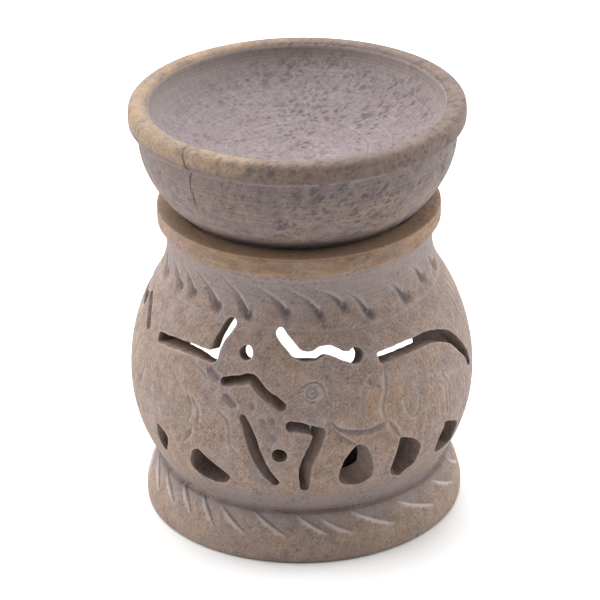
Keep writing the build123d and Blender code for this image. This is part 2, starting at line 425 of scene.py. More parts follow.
@dataclass(frozen=True)
class Opening:
    """One opening through the pot's wall, made of slots, carved gaps and drilled holes that run together.

    The tool leaned down inwards and swung aside inwards by angles in degrees, given from the left end to
    the right. It left the opening narrower inside by the taper on every side.
    """

    slots: tuple[Slot, ...] = ()
    gaps: tuple[Line, ...] = ()
    holes: tuple[tuple[Pair, float], ...] = ()
    lean: tuple[float, ...] = (0.0,)
    swing: tuple[float, ...] = (0.0,)
    taper: float = 0.0
    turn: float = 0.0

    def turned(self, turn: float) -> "Opening":
        """Give the same opening further round the wall."""
        return replace(self, turn=turn)

    def corners(self) -> np.ndarray:
        """List all points that the opening is drawn with."""
        spots = [spot for slot in self.slots for spot in slot.line]
        spots += [spot for gap in self.gaps for spot in gap]
        return np.array(spots + [place for place, _ in self.holes])

    def facing(self) -> float:
        """Angle from which the opening was cut."""
        angles = self.corners()[:, 0]
        return (angles.min() + angles.max()) / 2

    def outline(self, radius_at: Callable[[np.ndarray], np.ndarray]) -> tuple[np.ndarray, np.ndarray]:
        """Draw the opening's edge on the sheet that faces it.

        Args:
            radius_at: Outer radius of the wall at given heights.

        Returns:
            Points of the edge, anticlockwise, and their directions into the stone.
        """
        facing = self.facing()

        def flat(spots: Sequence[Pair]) -> np.ndarray:
            """Lay (angle, height) points on the facing sheet."""
            places = np.array(spots, float)
            across = radius_at(places[:, 1]) * np.sin(np.radians(places[:, 0] - facing))
            return np.stack([across, places[:, 1]], axis=1)

        def distance(at: np.ndarray) -> np.ndarray:
            """Measure how far points are from the opening's edge."""
            levels = [slot.distance(at, flat) for slot in self.slots]
            for place, radius in self.holes:
                levels.append(np.linalg.norm(at - flat([place]), axis=1) - radius)
            for gap in self.gaps:
                edge = cut_corners(flat(gap), 2)
                run = np.vstack([edge, edge[:1]])
                inside = np.zeros(len(at), bool)
                for (ax, az), (bx, bz) in zip(run[:-1], run[1:]):
                    crosses = (az > at[:, 1]) != (bz > at[:, 1])
                    rise = bz - az if bz != az else 1e-9
                    inside ^= crosses & (at[:, 0] < ax + (at[:, 1] - az) * (bx - ax) / rise)
                levels.append(to_segments(at, run)[0].min(axis=1) * np.where(inside, -1, 1))
            level = levels[0]
            for other in levels[1:]:
                level = soft_min(level, other, 0.5)
            hand = np.sin(1.7 * at[:, 0] + 0.9 * at[:, 1] + facing) * np.sin(1.3 * at[:, 1] - 0.6 * at[:, 0])
            return level + 0.07 * hand

        spots = flat(self.corners())
        rough = trace(distance, tuple(spots.min(axis=0) - 4), tuple(spots.max(axis=0) + 4), 0.3)
        edge = resample(rough, 0.42, closed=True)
        for _ in range(3):
            edge = edge - distance(edge)[:, None] * slope_of(distance, edge) * 0.8
        return edge, slope_of(distance, edge)


class GrooveForm(Enum):
    """How an engraved line swells from its start to its end."""

    LEAF = "thin at the start, wide and deep near the end"
    LINE = "even, with drawn-out ends"
    CHIP = "flat-sided and widest in the middle"
    DOT = "one round hollow"

    def swell(self, share: np.ndarray) -> np.ndarray:
        """Size along the line, from 0 to 1."""
        if self is GrooveForm.LEAF:
            return np.clip(0.2 + 0.85 * share**1.4, 0, 1)
        if self is GrooveForm.CHIP:
            return np.sin(np.pi * np.clip(0.06 + 0.86 * share, 0, 1)) ** 0.6
        if self is GrooveForm.DOT:
            return np.ones(len(share))
        return np.clip(np.minimum(share, 1 - share) * 6 + 0.25, 0, 1)


@dataclass(frozen=True)
class Groove:
    """One engraved line in (angle, height), with its depth and its reach to both sides of the tool."""

    line: Line
    depth: float
    left: float
    right: float
    form: GrooveForm = GrooveForm.LINE


@dataclass
class Cloud:
    """Points along engraved lines, which the engraving tree reads."""

    spots: list[np.ndarray] = field(default_factory=list)
    headings: list[np.ndarray] = field(default_factory=list)
    sizes: list[np.ndarray] = field(default_factory=list)

    def take(self, spots: np.ndarray, groove: Groove) -> None:
        """Add the points of one engraved line.

        Args:
            spots: Points in space in millimetres, evenly along the line.
            groove: The line's depth, reach and form.
        """
        way = np.gradient(spots, axis=0)
        swell = groove.form.swell(np.linspace(0, 1, len(spots)))
        self.spots.append(spots)
        self.headings.append(way / np.linalg.norm(way, axis=1, keepdims=True))
        hollow = np.full(len(spots), 0.0 if groove.form is GrooveForm.CHIP else 1.0)
        sizes = [groove.depth * swell * MM, groove.left * swell * MM, groove.right * swell * MM, hollow]
        self.sizes.append(np.stack(sizes, axis=1))

    def to_object(self) -> bpy.types.Object:
        """Make the cloud an object with the lines' sizes as attributes, in metres."""
        mesh = bpy.data.meshes.new("engraved_lines")
        mesh.from_pydata((np.vstack(self.spots) * MM).tolist(), [], [])
        heading = mesh.attributes.new("heading", "FLOAT_VECTOR", "POINT")
        heading.data.foreach_set("vector", np.vstack(self.headings).astype(np.float32).ravel())
        sizes = np.vstack(self.sizes)
        for k, name in enumerate(("depth", "reach_left", "reach_right", "hollow")):
            add_field(mesh, name, sizes[:, k])
        return add_object("engraved_lines", mesh)


class EngravingTree(Tree):
    """Geometry Nodes that press engraved lines into a stone's surface."""

    def __init__(self) -> None:
        """Build the tree."""
        super().__init__("engraving", {"Lines": "NodeSocketObject", "Stone": "NodeSocketMaterial"})
        lines = self.add("GeometryNodeObjectInfo", {"Object": self.start["Lines"]}).outputs["Geometry"]
        here = self.add("GeometryNodeInputPosition").outputs[0]
        normal = self.add("GeometryNodeInputNormal").outputs[0]
        search = {"Geometry": lines, "Sample Position": here}
        nearest = self.add("GeometryNodeSampleNearest", search).outputs[0]

        def read(value: bpy.types.NodeSocket, kind: str) -> bpy.types.NodeSocket:
            """Read one value of the nearest point of the lines."""
            inputs = {"Geometry": lines, "Value": value, "Index": nearest}
            return self.add("GeometryNodeSampleIndex", inputs, data_type=kind).outputs[0]

        spot = read(self.add("GeometryNodeInputPosition").outputs[0], "FLOAT_VECTOR")
        heading = read(self.field("heading", "FLOAT_VECTOR"), "FLOAT_VECTOR")
        depth = read(self.field("depth"), "FLOAT")
        reach_left = read(self.field("reach_left"), "FLOAT")
        reach_right = read(self.field("reach_right"), "FLOAT")
        away = self.vector("SUBTRACT", here, spot).outputs[0]
        leftwards = self.vector("CROSS_PRODUCT", normal, heading).outputs[0]
        side = self.vector("DOT_PRODUCT", away, leftwards).outputs["Value"]
        distance = self.vector("LENGTH", away).outputs["Value"]
        on_left = self.math("GREATER_THAN", side, 0.0)
        choice = {"Switch": on_left, "False": reach_right, "True": reach_left}
        reach = self.add("GeometryNodeSwitch", choice, input_type="FLOAT").outputs[0]
        share = self.math("DIVIDE", distance, self.math("MAXIMUM", reach, 0.00002))
        fall = self.math("SUBTRACT", 1.0, share, clamp=True)
        hollow = read(self.field("hollow"), "FLOAT")
        belly = self.math("MULTIPLY", hollow, self.math("SUBTRACT", 1.0, fall))
        fall = self.math("MULTIPLY", fall, self.math("ADD", 1.0, belly))
        carved = self.math("MULTIPLY", fall, self.field("outside"))
        press = self.math("MULTIPLY", self.math("MULTIPLY", carved, depth), -1.0)
        push = self.vector("SCALE", normal)
        self.feed(push.inputs["Scale"], press)
        shift = {"Geometry": self.start[0], "Offset": push.outputs[0]}
        moved = self.add("GeometryNodeSetPosition", shift).outputs[0]
        deep = self.math("DIVIDE", depth, 0.0007, clamp=True)
        strength = self.math("MULTIPLY_ADD", hollow, 0.65, 0.35)
        tint = self.math("MULTIPLY", self.math("POWER", deep, 0.6), strength)
        kept = self.store(moved, "cut", self.math("MULTIPLY", carved, tint))
        # A thin band along the steep side of each cut, which the pot's stone paints pale as dust and painted
        # highlight.
        past = self.math("ABSOLUTE", self.math("SUBTRACT", distance, reach))
        thin = self.math("SUBTRACT", 1.0, self.math("DIVIDE", past, 0.00045), clamp=True)
        steep = self.math("LESS_THAN", reach, 0.0008)
        sharp = self.math("MULTIPLY", thin, steep)
        crest = self.math("MULTIPLY", sharp, self.math("MULTIPLY", deep, self.field("outside")))
        self.close(self.store(kept, "crest", crest), self.start["Stone"])


def upright_arc_radius(rise: float, run: float) -> float:
    """Radius of an arc that starts upright, rises by one length and runs sideways by another."""
    return (rise**2 + run**2) / (2 * run)


@dataclass
class Shell:
    """The pot's wall as a line of (radius, height), from the middle of the underside to that of the floor."""

    run: np.ndarray
    inside_from: int

    def __post_init__(self) -> None:
        """Measure the line and sort out its outside and inside."""
        self.length = along(self.run)
        heights = self.run[:, 1]
        top = int(np.argmax(heights > heights.max() - 0.02))
        first = int(np.argmax(heights > 0.02))
        low = self.inside_from + int(np.argmin(heights[self.inside_from :]))
        self.outer = slice(first, top)
        self.inner = slice(low, self.inside_from, -1)

    def at(self, height: np.ndarray, part: slice, values: np.ndarray) -> np.ndarray:
        """Read a value of the line at given heights of one of its parts."""
        return np.interp(height, self.run[part, 1], values[part])

    def radius_out(self, height: np.ndarray) -> np.ndarray:
        """Outer radius at given heights."""
        return self.at(height, self.outer, self.run[:, 0])

    def radius_in(self, height: np.ndarray) -> np.ndarray:
        """Inner radius at given heights."""
        return self.at(height, self.inner, self.run[:, 0])

    def place(self, angle: np.ndarray, length: np.ndarray) -> np.ndarray:
        """Points in space at angles in degrees and lengths along the line."""
        radius = np.interp(length, self.length, self.run[:, 0])
        height = np.interp(length, self.length, self.run[:, 1])
        turn = np.radians(angle)
        return np.stack([radius * np.sin(turn), -radius * np.cos(turn), height], axis=1)


@dataclass
class Pot:
    """The pierced stone pot: foot, belly, shoulder and neck in one piece, with a door at its back."""

    foot_radius: float = 37.2
    foot_edge: float = 0.6
    band_height: float = 6.9
    band_taper: float = 0.9
    ridge: Pair = (34.5, 11.4)
    groove: Pair = (33.1, 12.2)
    belly_foot: Pair = (34.3, 14.0)
    belly: Pair = (40.0, 33.0)
    waist: Pair = (30.6, 66.0)
    waist_round: float = 17.6
    lip: Pair = (32.6, 71.4)
    neck_height: float = 75.05
    seat: Pair = (1.4, 1.1)
    mouth_radius: float = 26.0
    bore_height: float = 59.55
    inner_radius: float = 35.8
    chamber_floor: Pair = (28.3, 13.0)
    door_half: float = 27.0
    door_spring: float = 25.0
    door_top: float = 49.0
    edge_round: float = 0.22
    unroll_radius: float = 36.0
    seam: float = 104.5
    openings: tuple[Opening, ...] = ()
    grooves: tuple[Groove, ...] = ()

    def shell(self) -> Shell:
        """Draw the wall's line as it was turned and hollowed."""
        belly_r, belly_z = self.belly
        under = upright_arc_radius(belly_z - self.belly_foot[1], belly_r - self.belly_foot[0])
        rise, run = self.waist[1] - belly_z, belly_r - self.waist[0]
        over = upright_arc_radius(rise, run) - self.waist_round
        turn = math.degrees(math.asin(rise / (over + self.waist_round)))
        cove = upright_arc_radius(self.lip[1] - self.waist[1], self.lip[0] - self.waist[0])
        cove_turn = math.degrees(math.asin((self.lip[1] - self.waist[1]) / cove))
        under_turn = math.degrees(math.asin((belly_z - self.belly_foot[1]) / under))
        outside = Section()
        outside.line((2.0, 0.0), (self.foot_radius - self.foot_edge, 0.0), (self.foot_radius, self.foot_edge))
        outside.line((self.foot_radius, self.band_height / 2))
        outside.line((self.foot_radius - self.band_taper, self.band_height), (35.3, 9.6), self.ridge)
        outside.line((self.groove[0], self.ridge[1] + 0.25), self.groove)
        outside.arc((belly_r - under, belly_z), (under, under), -under_turn, 0)
        outside.arc((belly_r - over, belly_z), (over, over), 0, turn)
        waist_centre = (self.waist[0] + self.waist_round, self.waist[1])
        outside.arc(waist_centre, (self.waist_round,) * 2, 180 + turn, 180)
        outside.arc((self.waist[0] + cove, self.waist[1]), (cove, cove), 180, 180 - cove_turn)
        outside.line((self.lip[0], self.neck_height), (self.mouth_radius + self.seat[0], self.neck_height))
        outside.line((self.mouth_radius, self.neck_height - self.seat[1]))
        outside.line((self.mouth_radius, self.bore_height))
        inner_over = upright_arc_radius(self.bore_height - belly_z, self.inner_radius - self.mouth_radius)
        floor_r, floor_z = self.chamber_floor
        inner_under = upright_arc_radius(belly_z - floor_z, self.inner_radius - floor_r)
        over_turn = math.degrees(math.asin((self.bore_height - belly_z) / inner_over))
        floor_turn = math.degrees(math.asin((belly_z - floor_z) / inner_under))
        inside = Section()
        inside.arc((self.inner_radius - inner_over, belly_z), (inner_over,) * 2, over_turn, 0)
        inside.arc((self.inner_radius - inner_under, belly_z), (inner_under,) * 2, 0, -floor_turn)
        outer = outside.worn(0.22)
        wall = resample(np.array(inside.points), 0.05)
        floor = resample(np.array([self.chamber_floor, (2.0, floor_z)]), 0.05)
        return Shell(np.vstack([outer, wall[1:], floor[1:]]), len(outer))

    def door(self) -> tuple[np.ndarray, np.ndarray]:
        """Draw the door's edge, seen from behind, and its directions into the stone."""
        rise = self.door_top - self.door_spring
        arch = (rise**2 + self.door_half**2) / (2 * rise)
        reach = math.asin(self.door_half / arch)
        if rise > self.door_half:
            reach = math.pi - reach
        sweep = np.linspace(reach, -reach, 76)
        curve = np.stack([arch * np.sin(sweep), self.door_top - arch + arch * np.cos(sweep)], axis=1)
        low = self.chamber_floor[1]
        sill = np.stack([np.linspace(-self.door_half, self.door_half, 60), np.full(60, low)], axis=1)
        side = np.linspace(low, self.door_spring, 15)[1:-1]
        right = np.stack([np.full(13, self.door_half), side], axis=1)
        left = np.stack([np.full(13, -self.door_half), side[::-1]], axis=1)
        edge = np.vstack([sill, right, curve, left])
        way = np.roll(edge, -1, axis=0) - np.roll(edge, 1, axis=0)
        outwards = np.stack([way[:, 1], -way[:, 0]], axis=1)
        return edge, outwards / np.linalg.norm(outwards, axis=1, keepdims=True)

    def unroll(self, angle: np.ndarray) -> np.ndarray:
        """Place of an angle in degrees across the unrolled wall."""
        return np.radians((angle - self.seam) % 360) * self.unroll_radius

    def cloud(self, shell: Shell) -> tuple[Cloud, np.ndarray]:
        """Lay the engraved lines on the wall.

        Args:
            shell: The wall's line.

        Returns:
            The lines as a cloud of points, and places on the unrolled wall where the mesh needs points.
        """
        cloud = Cloud()
        places = []

        def length_at(height: np.ndarray) -> np.ndarray:
            """Length along the wall's line at given heights outside."""
            return shell.at(height, shell.outer, shell.length)

        for groove in self.grooves:
            spots = np.array(groove.line, float)
            flat = np.stack([np.radians(spots[:, 0]) * self.unroll_radius, length_at(spots[:, 1])], axis=1)
            run = resample(smooth_line(flat, 0.3), 0.3)
            cloud.take(shell.place(np.degrees(run[:, 0] / self.unroll_radius), run[:, 1]), groove)
            swell = groove.form.swell(np.linspace(0, 1, len(run)))[:, None]
            if groove.form is GrooveForm.DOT:
                turns = np.linspace(0, 2 * math.pi, 14, endpoint=False)
                round_it = np.stack([np.cos(turns), np.sin(turns)], axis=1) * groove.left
                circles = [round_it * share for share in (0.3, 0.6, 0.85, 1.0, 1.2)]
                spread = run.mean(axis=0) + np.vstack(circles)
                spread[:, 0] = self.unroll(np.degrees(spread[:, 0] / self.unroll_radius))
                places.append(spread)
                continue
            way = np.gradient(run, axis=0)
            leftwards = np.stack([-way[:, 1], way[:, 0]], axis=1) / np.linalg.norm(way, axis=1, keepdims=True)
            offsets = [groove.left * k for k in (0, 0.5, 1, 1.3)]
            offsets += [-groove.right * k for k in (0.25, 0.5, 0.75, 1, 1.2)]
            for offset in offsets:
                spot = run + leftwards * offset * swell
                across = self.unroll(np.degrees(spot[:, 0] / self.unroll_radius))
                places.append(np.stack([across, spot[:, 1]], axis=1))
        return cloud, np.vstack(places)

    def build(self, stone: bpy.types.Material) -> bpy.types.Object:
        """Make the pot's mesh, pierced and engraved.

        Args:
            stone: The pot's finish.

        Returns:
            The finished object.
        """
        shell = self.shell()
        rings = [(*each.outline(shell.radius_out), each.facing() + each.turn, each) for each in self.openings]
        rings.append((*self.door(), 180.0, Opening()))
        cloud, fine = self.cloud(shell)
        spots: list[np.ndarray] = []
        faces: list[list[int]] = []
        walls: list[list[np.ndarray]] = []
        start = 0
        for edge, out, facing, opening in rings:
            x0, z0 = (edge + out * self.edge_round).T
            outer_angle = facing + np.degrees(np.arcsin(x0 / shell.radius_out(z0)))
            outer = np.stack([self.unroll(outer_angle), shell.at(z0, shell.outer, shell.length)], axis=1)
            within = self.through(edge - out * opening.taper, opening, shell)
            inner_angle = facing + np.degrees(np.arctan2(within[:, 0], within[:, 1]))
            inner_length = shell.at(within[:, 2], shell.inner, shell.length)
            inner = np.stack([self.unroll(inner_angle), inner_length], axis=1)
            count = len(edge)
            faces.append(list(range(start, start + count)))
            faces.append(list(range(start + 2 * count - 1, start + count - 1, -1)))
            spots += [outer, inner]
            start += 2 * count
            walls.append(self.wall_layers(edge, out, facing, shell, within))
        loops = np.vstack(spots)
        flat, triangles, index = self.triangulate(loops, faces, fine, shell)
        angle = np.degrees(flat[:, 0] / self.unroll_radius) + self.seam
        verts = [shell.place(angle, flat[:, 1])]
        polys = triangles.tolist()
        outside = [flat[:, 1] < shell.length[shell.outer.stop + 10]]
        total = len(flat)
        for number, layers in enumerate(walls):
            count = len(layers[0])
            chain = [index[faces[2 * number]]]
            for layer in layers:
                verts.append(layer)
                outside.append(np.zeros(count, bool))
                chain.append(np.arange(total, total + count))
                total += count
            chain.append(index[faces[2 * number + 1][::-1]])
            for upper, lower in zip(chain, chain[1:]):
                polys += np.stack([upper, np.roll(upper, -1), np.roll(lower, -1), lower], axis=1).tolist()
        for end, height in ((0.0, 0.0), (shell.length[-1], self.chamber_floor[1])):
            row = np.flatnonzero(np.abs(flat[:, 1] - end) < 1e-6)
            row = row[np.argsort(flat[row, 0])]
            verts.append(np.array([[0.0, 0.0, height]]))
            outside.append(np.zeros(1, bool))
            for a, b in zip(row, row[1:]):
                polys.append([a, total, b] if end == 0.0 else [a, b, total])
            total += 1
        mesh = bpy.data.meshes.new("pot")
        mesh.from_pydata((np.vstack(verts) * MM).tolist(), [], polys)
        add_field(mesh, "outside", np.concatenate(outside).astype(float))
        self.mark_edges(mesh, walls)
        self.weld(mesh)
        piece = add_object("pierced_pot", mesh)
        lines = cloud.to_object()
        tree = EngravingTree()
        tree.run(piece, {"Lines": lines, "Stone": stone})
        bpy.data.objects.remove(lines)
        piece.data.set_sharp_from_angle(angle=math.radians(42))
        return piece

    def through(self, edge: np.ndarray, opening: Opening, shell: Shell) -> np.ndarray:
        """Follow the tool from an opening's outer edge to the inner wall.

        Args:
            edge: The opening's edge on the sheet that faces it.
            opening: How the tool leaned and swung.
            shell: The wall's line.

        Returns:
            The inner edge: distances aside, distances ahead of the axis, and heights.
        """
        share = (edge[:, 0] - edge[:, 0].min()) / np.ptp(edge[:, 0])
        both = (opening.lean, opening.swing)
        turns = [np.interp(share, np.linspace(0, 1, len(part)), part) for part in both]
        lean, swing = np.radians(turns[0]), np.radians(turns[1])
        across, height = edge.T.copy()
        far = np.sqrt(shell.radius_out(height) ** 2 - across**2)
        for _ in range(40):
            step = (np.hypot(across, far) - shell.radius_in(height)) * 0.7
            far = far - step * np.cos(lean) * np.cos(swing)
            across = across + step * np.cos(lean) * np.sin(swing)
            height = height - step * np.sin(lean)
        height = np.maximum(height, self.chamber_floor[1])
        return np.stack([across, np.sqrt(shell.radius_in(height) ** 2 - across**2), height], axis=1)

    def wall_layers(
        self, edge: np.ndarray, out: np.ndarray, facing: float, shell: Shell, within: np.ndarray
    ) -> list[np.ndarray]:
        """Make the rings of points between the outer and inner edge of an opening.

        Args:
            edge: The opening's edge on the sheet that faces it.
            out: Directions from the edge into the stone.
            facing: Angle from which it was cut.
            shell: The wall's line.
            within: The inner edge: distances aside and ahead, and heights.

        Returns:
            Rings of points in space, from outside to inside, without the two edges themselves.
        """
        turn = math.radians(facing)
        cosine, sine = math.cos(turn), math.sin(turn)
        axes = np.array([[cosine, sine, 0], [sine, -cosine, 0], [0, 0, 1]])
        layers = []
        for shift, depth in ((0.29, 0.29), (0.0, 1.0)):
            across, height = (edge + out * self.edge_round * shift).T
            reach = np.sqrt(shell.radius_out(height) ** 2 - across**2) - self.edge_round * depth
            layers.append(np.stack([across, reach, height], axis=1))
        layers += [layers[-1] * (1 - share) + within * share for share in (0.22, 0.48, 0.74)]
        return [layer @ axes for layer in layers]

    def triangulate(
        self, loops: np.ndarray, faces: list[list[int]], fine: np.ndarray, shell: Shell
    ) -> tuple[np.ndarray, np.ndarray, np.ndarray]:
        """Mesh the unrolled wall round its openings.

        Args:
            loops: Points of the openings' edges on the unrolled wall.
            faces: Indices of each edge's points.
            fine: Places where engraving needs points.
            shell: The wall's line.

        Returns:
            The mesh's points on the unrolled wall, its triangles, and the point that each edge point became.
        """
        width = 2 * math.pi * self.unroll_radius
        close = np.vstack([resample(loops[face], 0.25, closed=True) for face in faces])
        edge_tree = KDTree(len(close))
        for k, (u, v) in enumerate(close):
            edge_tree.insert((u, v, 0), k)
        edge_tree.balance()
        kept: list[Pair] = []
        taken: set[tuple[int, int]] = set()
        for u, v in fine:
            cell = (round(u / 0.26), round(v / 0.26))
            if cell in taken or edge_tree.find((u, v, 0))[2] < 0.3 or not 0.3 < u < width - 0.3:
                continue
            taken.add(cell)
            kept.append((u, v))
        fine_tree = KDTree(len(kept))
        for k, (u, v) in enumerate(kept):
            fine_tree.insert((u, v, 0), k)
        fine_tree.balance()
        height = shell.run[:, 1]
        outside = np.arange(len(shell.run)) < shell.inside_from
        level = (np.abs(height) < 1e-3) | (np.abs(height - self.chamber_floor[1]) < 1e-3) & ~outside
        spacing = np.where(level, 3.0, np.where(outside, 0.86, 1.7))
        for number, row in enumerate(pick_rows(shell.run, spacing, 14)):
            count = max(24, round(2 * math.pi * shell.run[row, 0] / spacing[row]))
            shift = 0.5 if number % 2 else 0.0
            across = (np.arange(count) + shift) / count * width
            ends = [0.0, width] if shift else [width]
            for u in (*across, *ends):
                spot = (u, shell.length[row], 0)
                on_seam = u in (0.0, width)
                near_edge = edge_tree.find(spot)[2] < 0.34
                near_line = fine_tree.find(spot)[2] < 0.34
                if on_seam or not (near_edge or near_line):
                    kept.append(spot[:2])
        points = np.vstack([loops, np.array(kept)])
        made = delaunay_2d_cdt([Vector(p) for p in points.tolist()], [], faces, 0, 1e-7, True)
        flat = np.array([tuple(v) for v in made[0]])
        triangles = np.array([face for face, source in zip(made[2], made[5]) if not source])
        index = np.full(len(points), -1)
        for new, old in enumerate(made[3]):
            index[old] = new
        return flat, triangles, index

    @staticmethod
    def mark_edges(mesh: bpy.types.Mesh, walls: list[list[np.ndarray]]) -> None:
        """Keep on every vertex how near it is to a sawn edge.

        Args:
            mesh: The pot's mesh.
            walls: Rings of points through the wall, for each opening.
        """
        rims = np.vstack([layers[0] for layers in walls])
        tree = KDTree(len(rims))
        for k, spot in enumerate(rims):
            tree.insert(spot, k)
        tree.balance()
        places = np.empty(len(mesh.vertices) * 3, np.float32)
        mesh.vertices.foreach_get("co", places)
        places = places.reshape(-1, 3) / MM
        near = np.array([tree.find(spot)[2] for spot in places])
        add_field(mesh, "edge", np.clip(1 - near / 1.1, 0, 1))

    @staticmethod
    def weld(mesh: bpy.types.Mesh) -> None:
        """Close the seam and drop points that no face uses."""
        work = bmesh.new()
        work.from_mesh(mesh)
        bmesh.ops.remove_doubles(work, verts=work.verts, dist=WELD)
        bmesh.ops.delete(work, geom=[v for v in work.verts if not v.link_faces], context="VERTS")
        open_edges = sum(1 for edge in work.edges if len(edge.link_faces) != 2)
        LOG.info("pot: %d faces, %d open edges", len(work.faces), open_edges)
        work.to_mesh(mesh)
        work.free()


class LatheTree(Tree):
    """Geometry Nodes that turn a section, a row of points in the XZ plane, round the upright axis."""

    def __init__(self) -> None:
        """Build the tree."""
        sizes = {"Columns": "NodeSocketInt", "Gather": "NodeSocketFloat", "Gather Angle": "NodeSocketFloat"}
        flutes = {"Flutes": "NodeSocketInt", "Flute Depth": "NodeSocketFloat"}
        super().__init__("lathe", {**sizes, **flutes, "Finish": "NodeSocketMaterial"})
        section = self.start[0]
        domain = self.add("GeometryNodeAttributeDomainSize", {"Geometry": section}).outputs["Point Count"]
        columns = self.math("ADD", self.start["Columns"], 1.0)
        sheet = self.add("GeometryNodeMeshGrid", {"Vertices X": columns, "Vertices Y": domain}).outputs[0]
        index = self.add("GeometryNodeInputIndex").outputs[0]
        row = self.math("MODULO", index, domain)
        column = self.math("FLOOR", self.math("DIVIDE", self.math("ADD", index, 0.5), domain))
        turn = self.math("MULTIPLY", self.math("DIVIDE", column, self.start["Columns"]), 2 * math.pi)
        pull = self.math("MULTIPLY", self.math("SINE", turn), self.start["Gather"])
        angle = self.math("ADD", self.math("SUBTRACT", turn, pull), self.start["Gather Angle"])

        def read(value: bpy.types.NodeSocket, kind: str) -> bpy.types.NodeSocket:
            """Read one value of the section at this row."""
            inputs = {"Geometry": section, "Value": value, "Index": row}
            return self.add("GeometryNodeSampleIndex", inputs, data_type=kind).outputs[0]

        here = read(self.add("GeometryNodeInputPosition").outputs[0], "FLOAT_VECTOR")
        spot = self.add("ShaderNodeSeparateXYZ", {0: here})
        wave = self.math("COSINE", self.math("MULTIPLY", angle, self.start["Flutes"]))
        depth = self.math("MULTIPLY", wave, self.start["Flute Depth"])
        press = self.math("MULTIPLY", depth, read(self.field("fluted"), "FLOAT"))
        radius = self.math("SUBTRACT", spot.outputs[0], press)
        across = self.math("MULTIPLY", radius, self.math("SINE", angle))
        ahead = self.math("MULTIPLY", radius, self.math("MULTIPLY", self.math("COSINE", angle), -1.0))
        place = self.add("ShaderNodeCombineXYZ", {0: across, 1: ahead, 2: spot.outputs[2]}).outputs[0]
        kept = self.store(sheet, "along", read(self.field("along"), "FLOAT"))
        kept = self.store(self.store(kept, "zone", read(self.field("zone"), "FLOAT")), "outside", 1.0)
        turned = self.add("GeometryNodeSetPosition", {"Geometry": kept, "Position": place}).outputs[0]
        joined = self.add("GeometryNodeMergeByDistance", {"Geometry": turned, "Distance": WELD}).outputs[0]
        self.close(joined, self.start["Finish"])


@dataclass
class Turned:
    """A piece turned from one section."""

    name: str
    run: np.ndarray
    columns: int
    gather: float = 0.0
    gather_angle: float = 0.0
    flutes: int = 0
    flute_depth: float = 0.0
    fluted: np.ndarray | None = None
    zone: np.ndarray | None = None

    def build(self, tree: LatheTree, finish: bpy.types.Material) -> bpy.types.Object:
        """Turn the section.

        Args:
            tree: The lathe.
            finish: The piece's material.

        Returns:
            The finished object.
        """
        mesh = bpy.data.meshes.new(self.name)
        spots = np.stack([self.run[:, 0], np.zeros(len(self.run)), self.run[:, 1]], axis=1)
        mesh.from_pydata((spots * MM).tolist(), [], [])
        add_field(mesh, "along", along(self.run))
        add_field(mesh, "fluted", np.zeros(len(self.run)) if self.fluted is None else self.fluted)
        add_field(mesh, "zone", np.zeros(len(self.run)) if self.zone is None else self.zone)
        piece = add_object(self.name, mesh)
        gather_angle = math.radians(self.gather_angle)
        sizes = {"Columns": self.columns, "Gather": self.gather, "Gather Angle": gather_angle}
        flutes = {"Flutes": self.flutes, "Flute Depth": self.flute_depth * MM}
        tree.run(piece, {**sizes, **flutes, "Finish": finish})
        return piece


@dataclass
class Dish:
    """The thick turned bowl for water and oil."""

    radius: float = 36.4
    depth: float = 26.5
    height: float = 92.77
    collar_height: float = 94.77
    step: float = 0.7
    lip_radius: float = 38.4
    lip_round: Pair = (1.9, 1.7)
    rim_height: float = 99.966
    bowl_radius: float = 33.6
    bevel: Pair = (1.0, 0.9)
    edge_wear: float = 0.45
    bowl_floor: float = 86.07
    crack: tuple[tuple[float, float, float], ...] = ()

    def section(self) -> np.ndarray:
        """Draw the dish's section from its lowest point over the rim to the middle of the bowl."""
        bowl_height = self.rim_height - self.bevel[1]
        rim_edge = self.lip_radius - self.lip_round[0]
        line = Section()
        line.arc((0.0, self.height), (self.radius, self.depth), -90, 0)
        line.line((self.radius, self.collar_height), (self.lip_radius, self.collar_height + self.step))
        line.arc((rim_edge, self.rim_height - self.lip_round[1]), self.lip_round, 0, 90)
        line.line((self.bowl_radius + self.bevel[0], self.rim_height))
        line.arc((0.0, bowl_height), (self.bowl_radius, bowl_height - self.bowl_floor), 0, -90)
        run = line.worn(self.edge_wear)
        run[0, 0] = run[-1, 0] = 0.0
        return run[pick_rows(run, np.where(run[:, 1] > self.collar_height, 0.3, 0.85), 9)]

    def build(self, tree: LatheTree, stone: bpy.types.Material) -> bpy.types.Object:
        """Turn the dish and break its rim with the crack.

        Args:
            tree: The lathe.
            stone: The dish's finish.

        Returns:
            The finished object.
        """
        run = self.section()
        inside = np.arange(len(run)) > np.argmax(run[:, 1])
        bowl = inside & (run[:, 0] < self.bowl_radius + 0.3)
        rim = (run[:, 1] > self.collar_height + 0.2) & ~bowl
        zone = np.where(bowl, 2.0, np.where(rim, 1.0, 0.0))
        piece = Turned("oil_dish", run, 420, 0.78, -41.0, zone=zone).build(tree, stone)
        cloud = Cloud()
        flat = np.array(self.crack)
        run = resample(smooth_line(flat, 0.3), 0.3)
        rough = np.sin(np.arange(len(run)) * 0.31) * 0.25 + np.sin(np.arange(len(run)) * 0.83) * 0.12
        turn = np.radians(run[:, 0] + rough)
        spots = np.stack([run[:, 1] * np.sin(turn), -run[:, 1] * np.cos(turn), run[:, 2]], axis=1)
        cloud.take(spots, Groove((), 0.45, 0.22, 0.22))
        lines = cloud.to_object()
        EngravingTree().run(piece, {"Lines": lines, "Stone": stone})
        bpy.data.objects.remove(lines)
        return piece


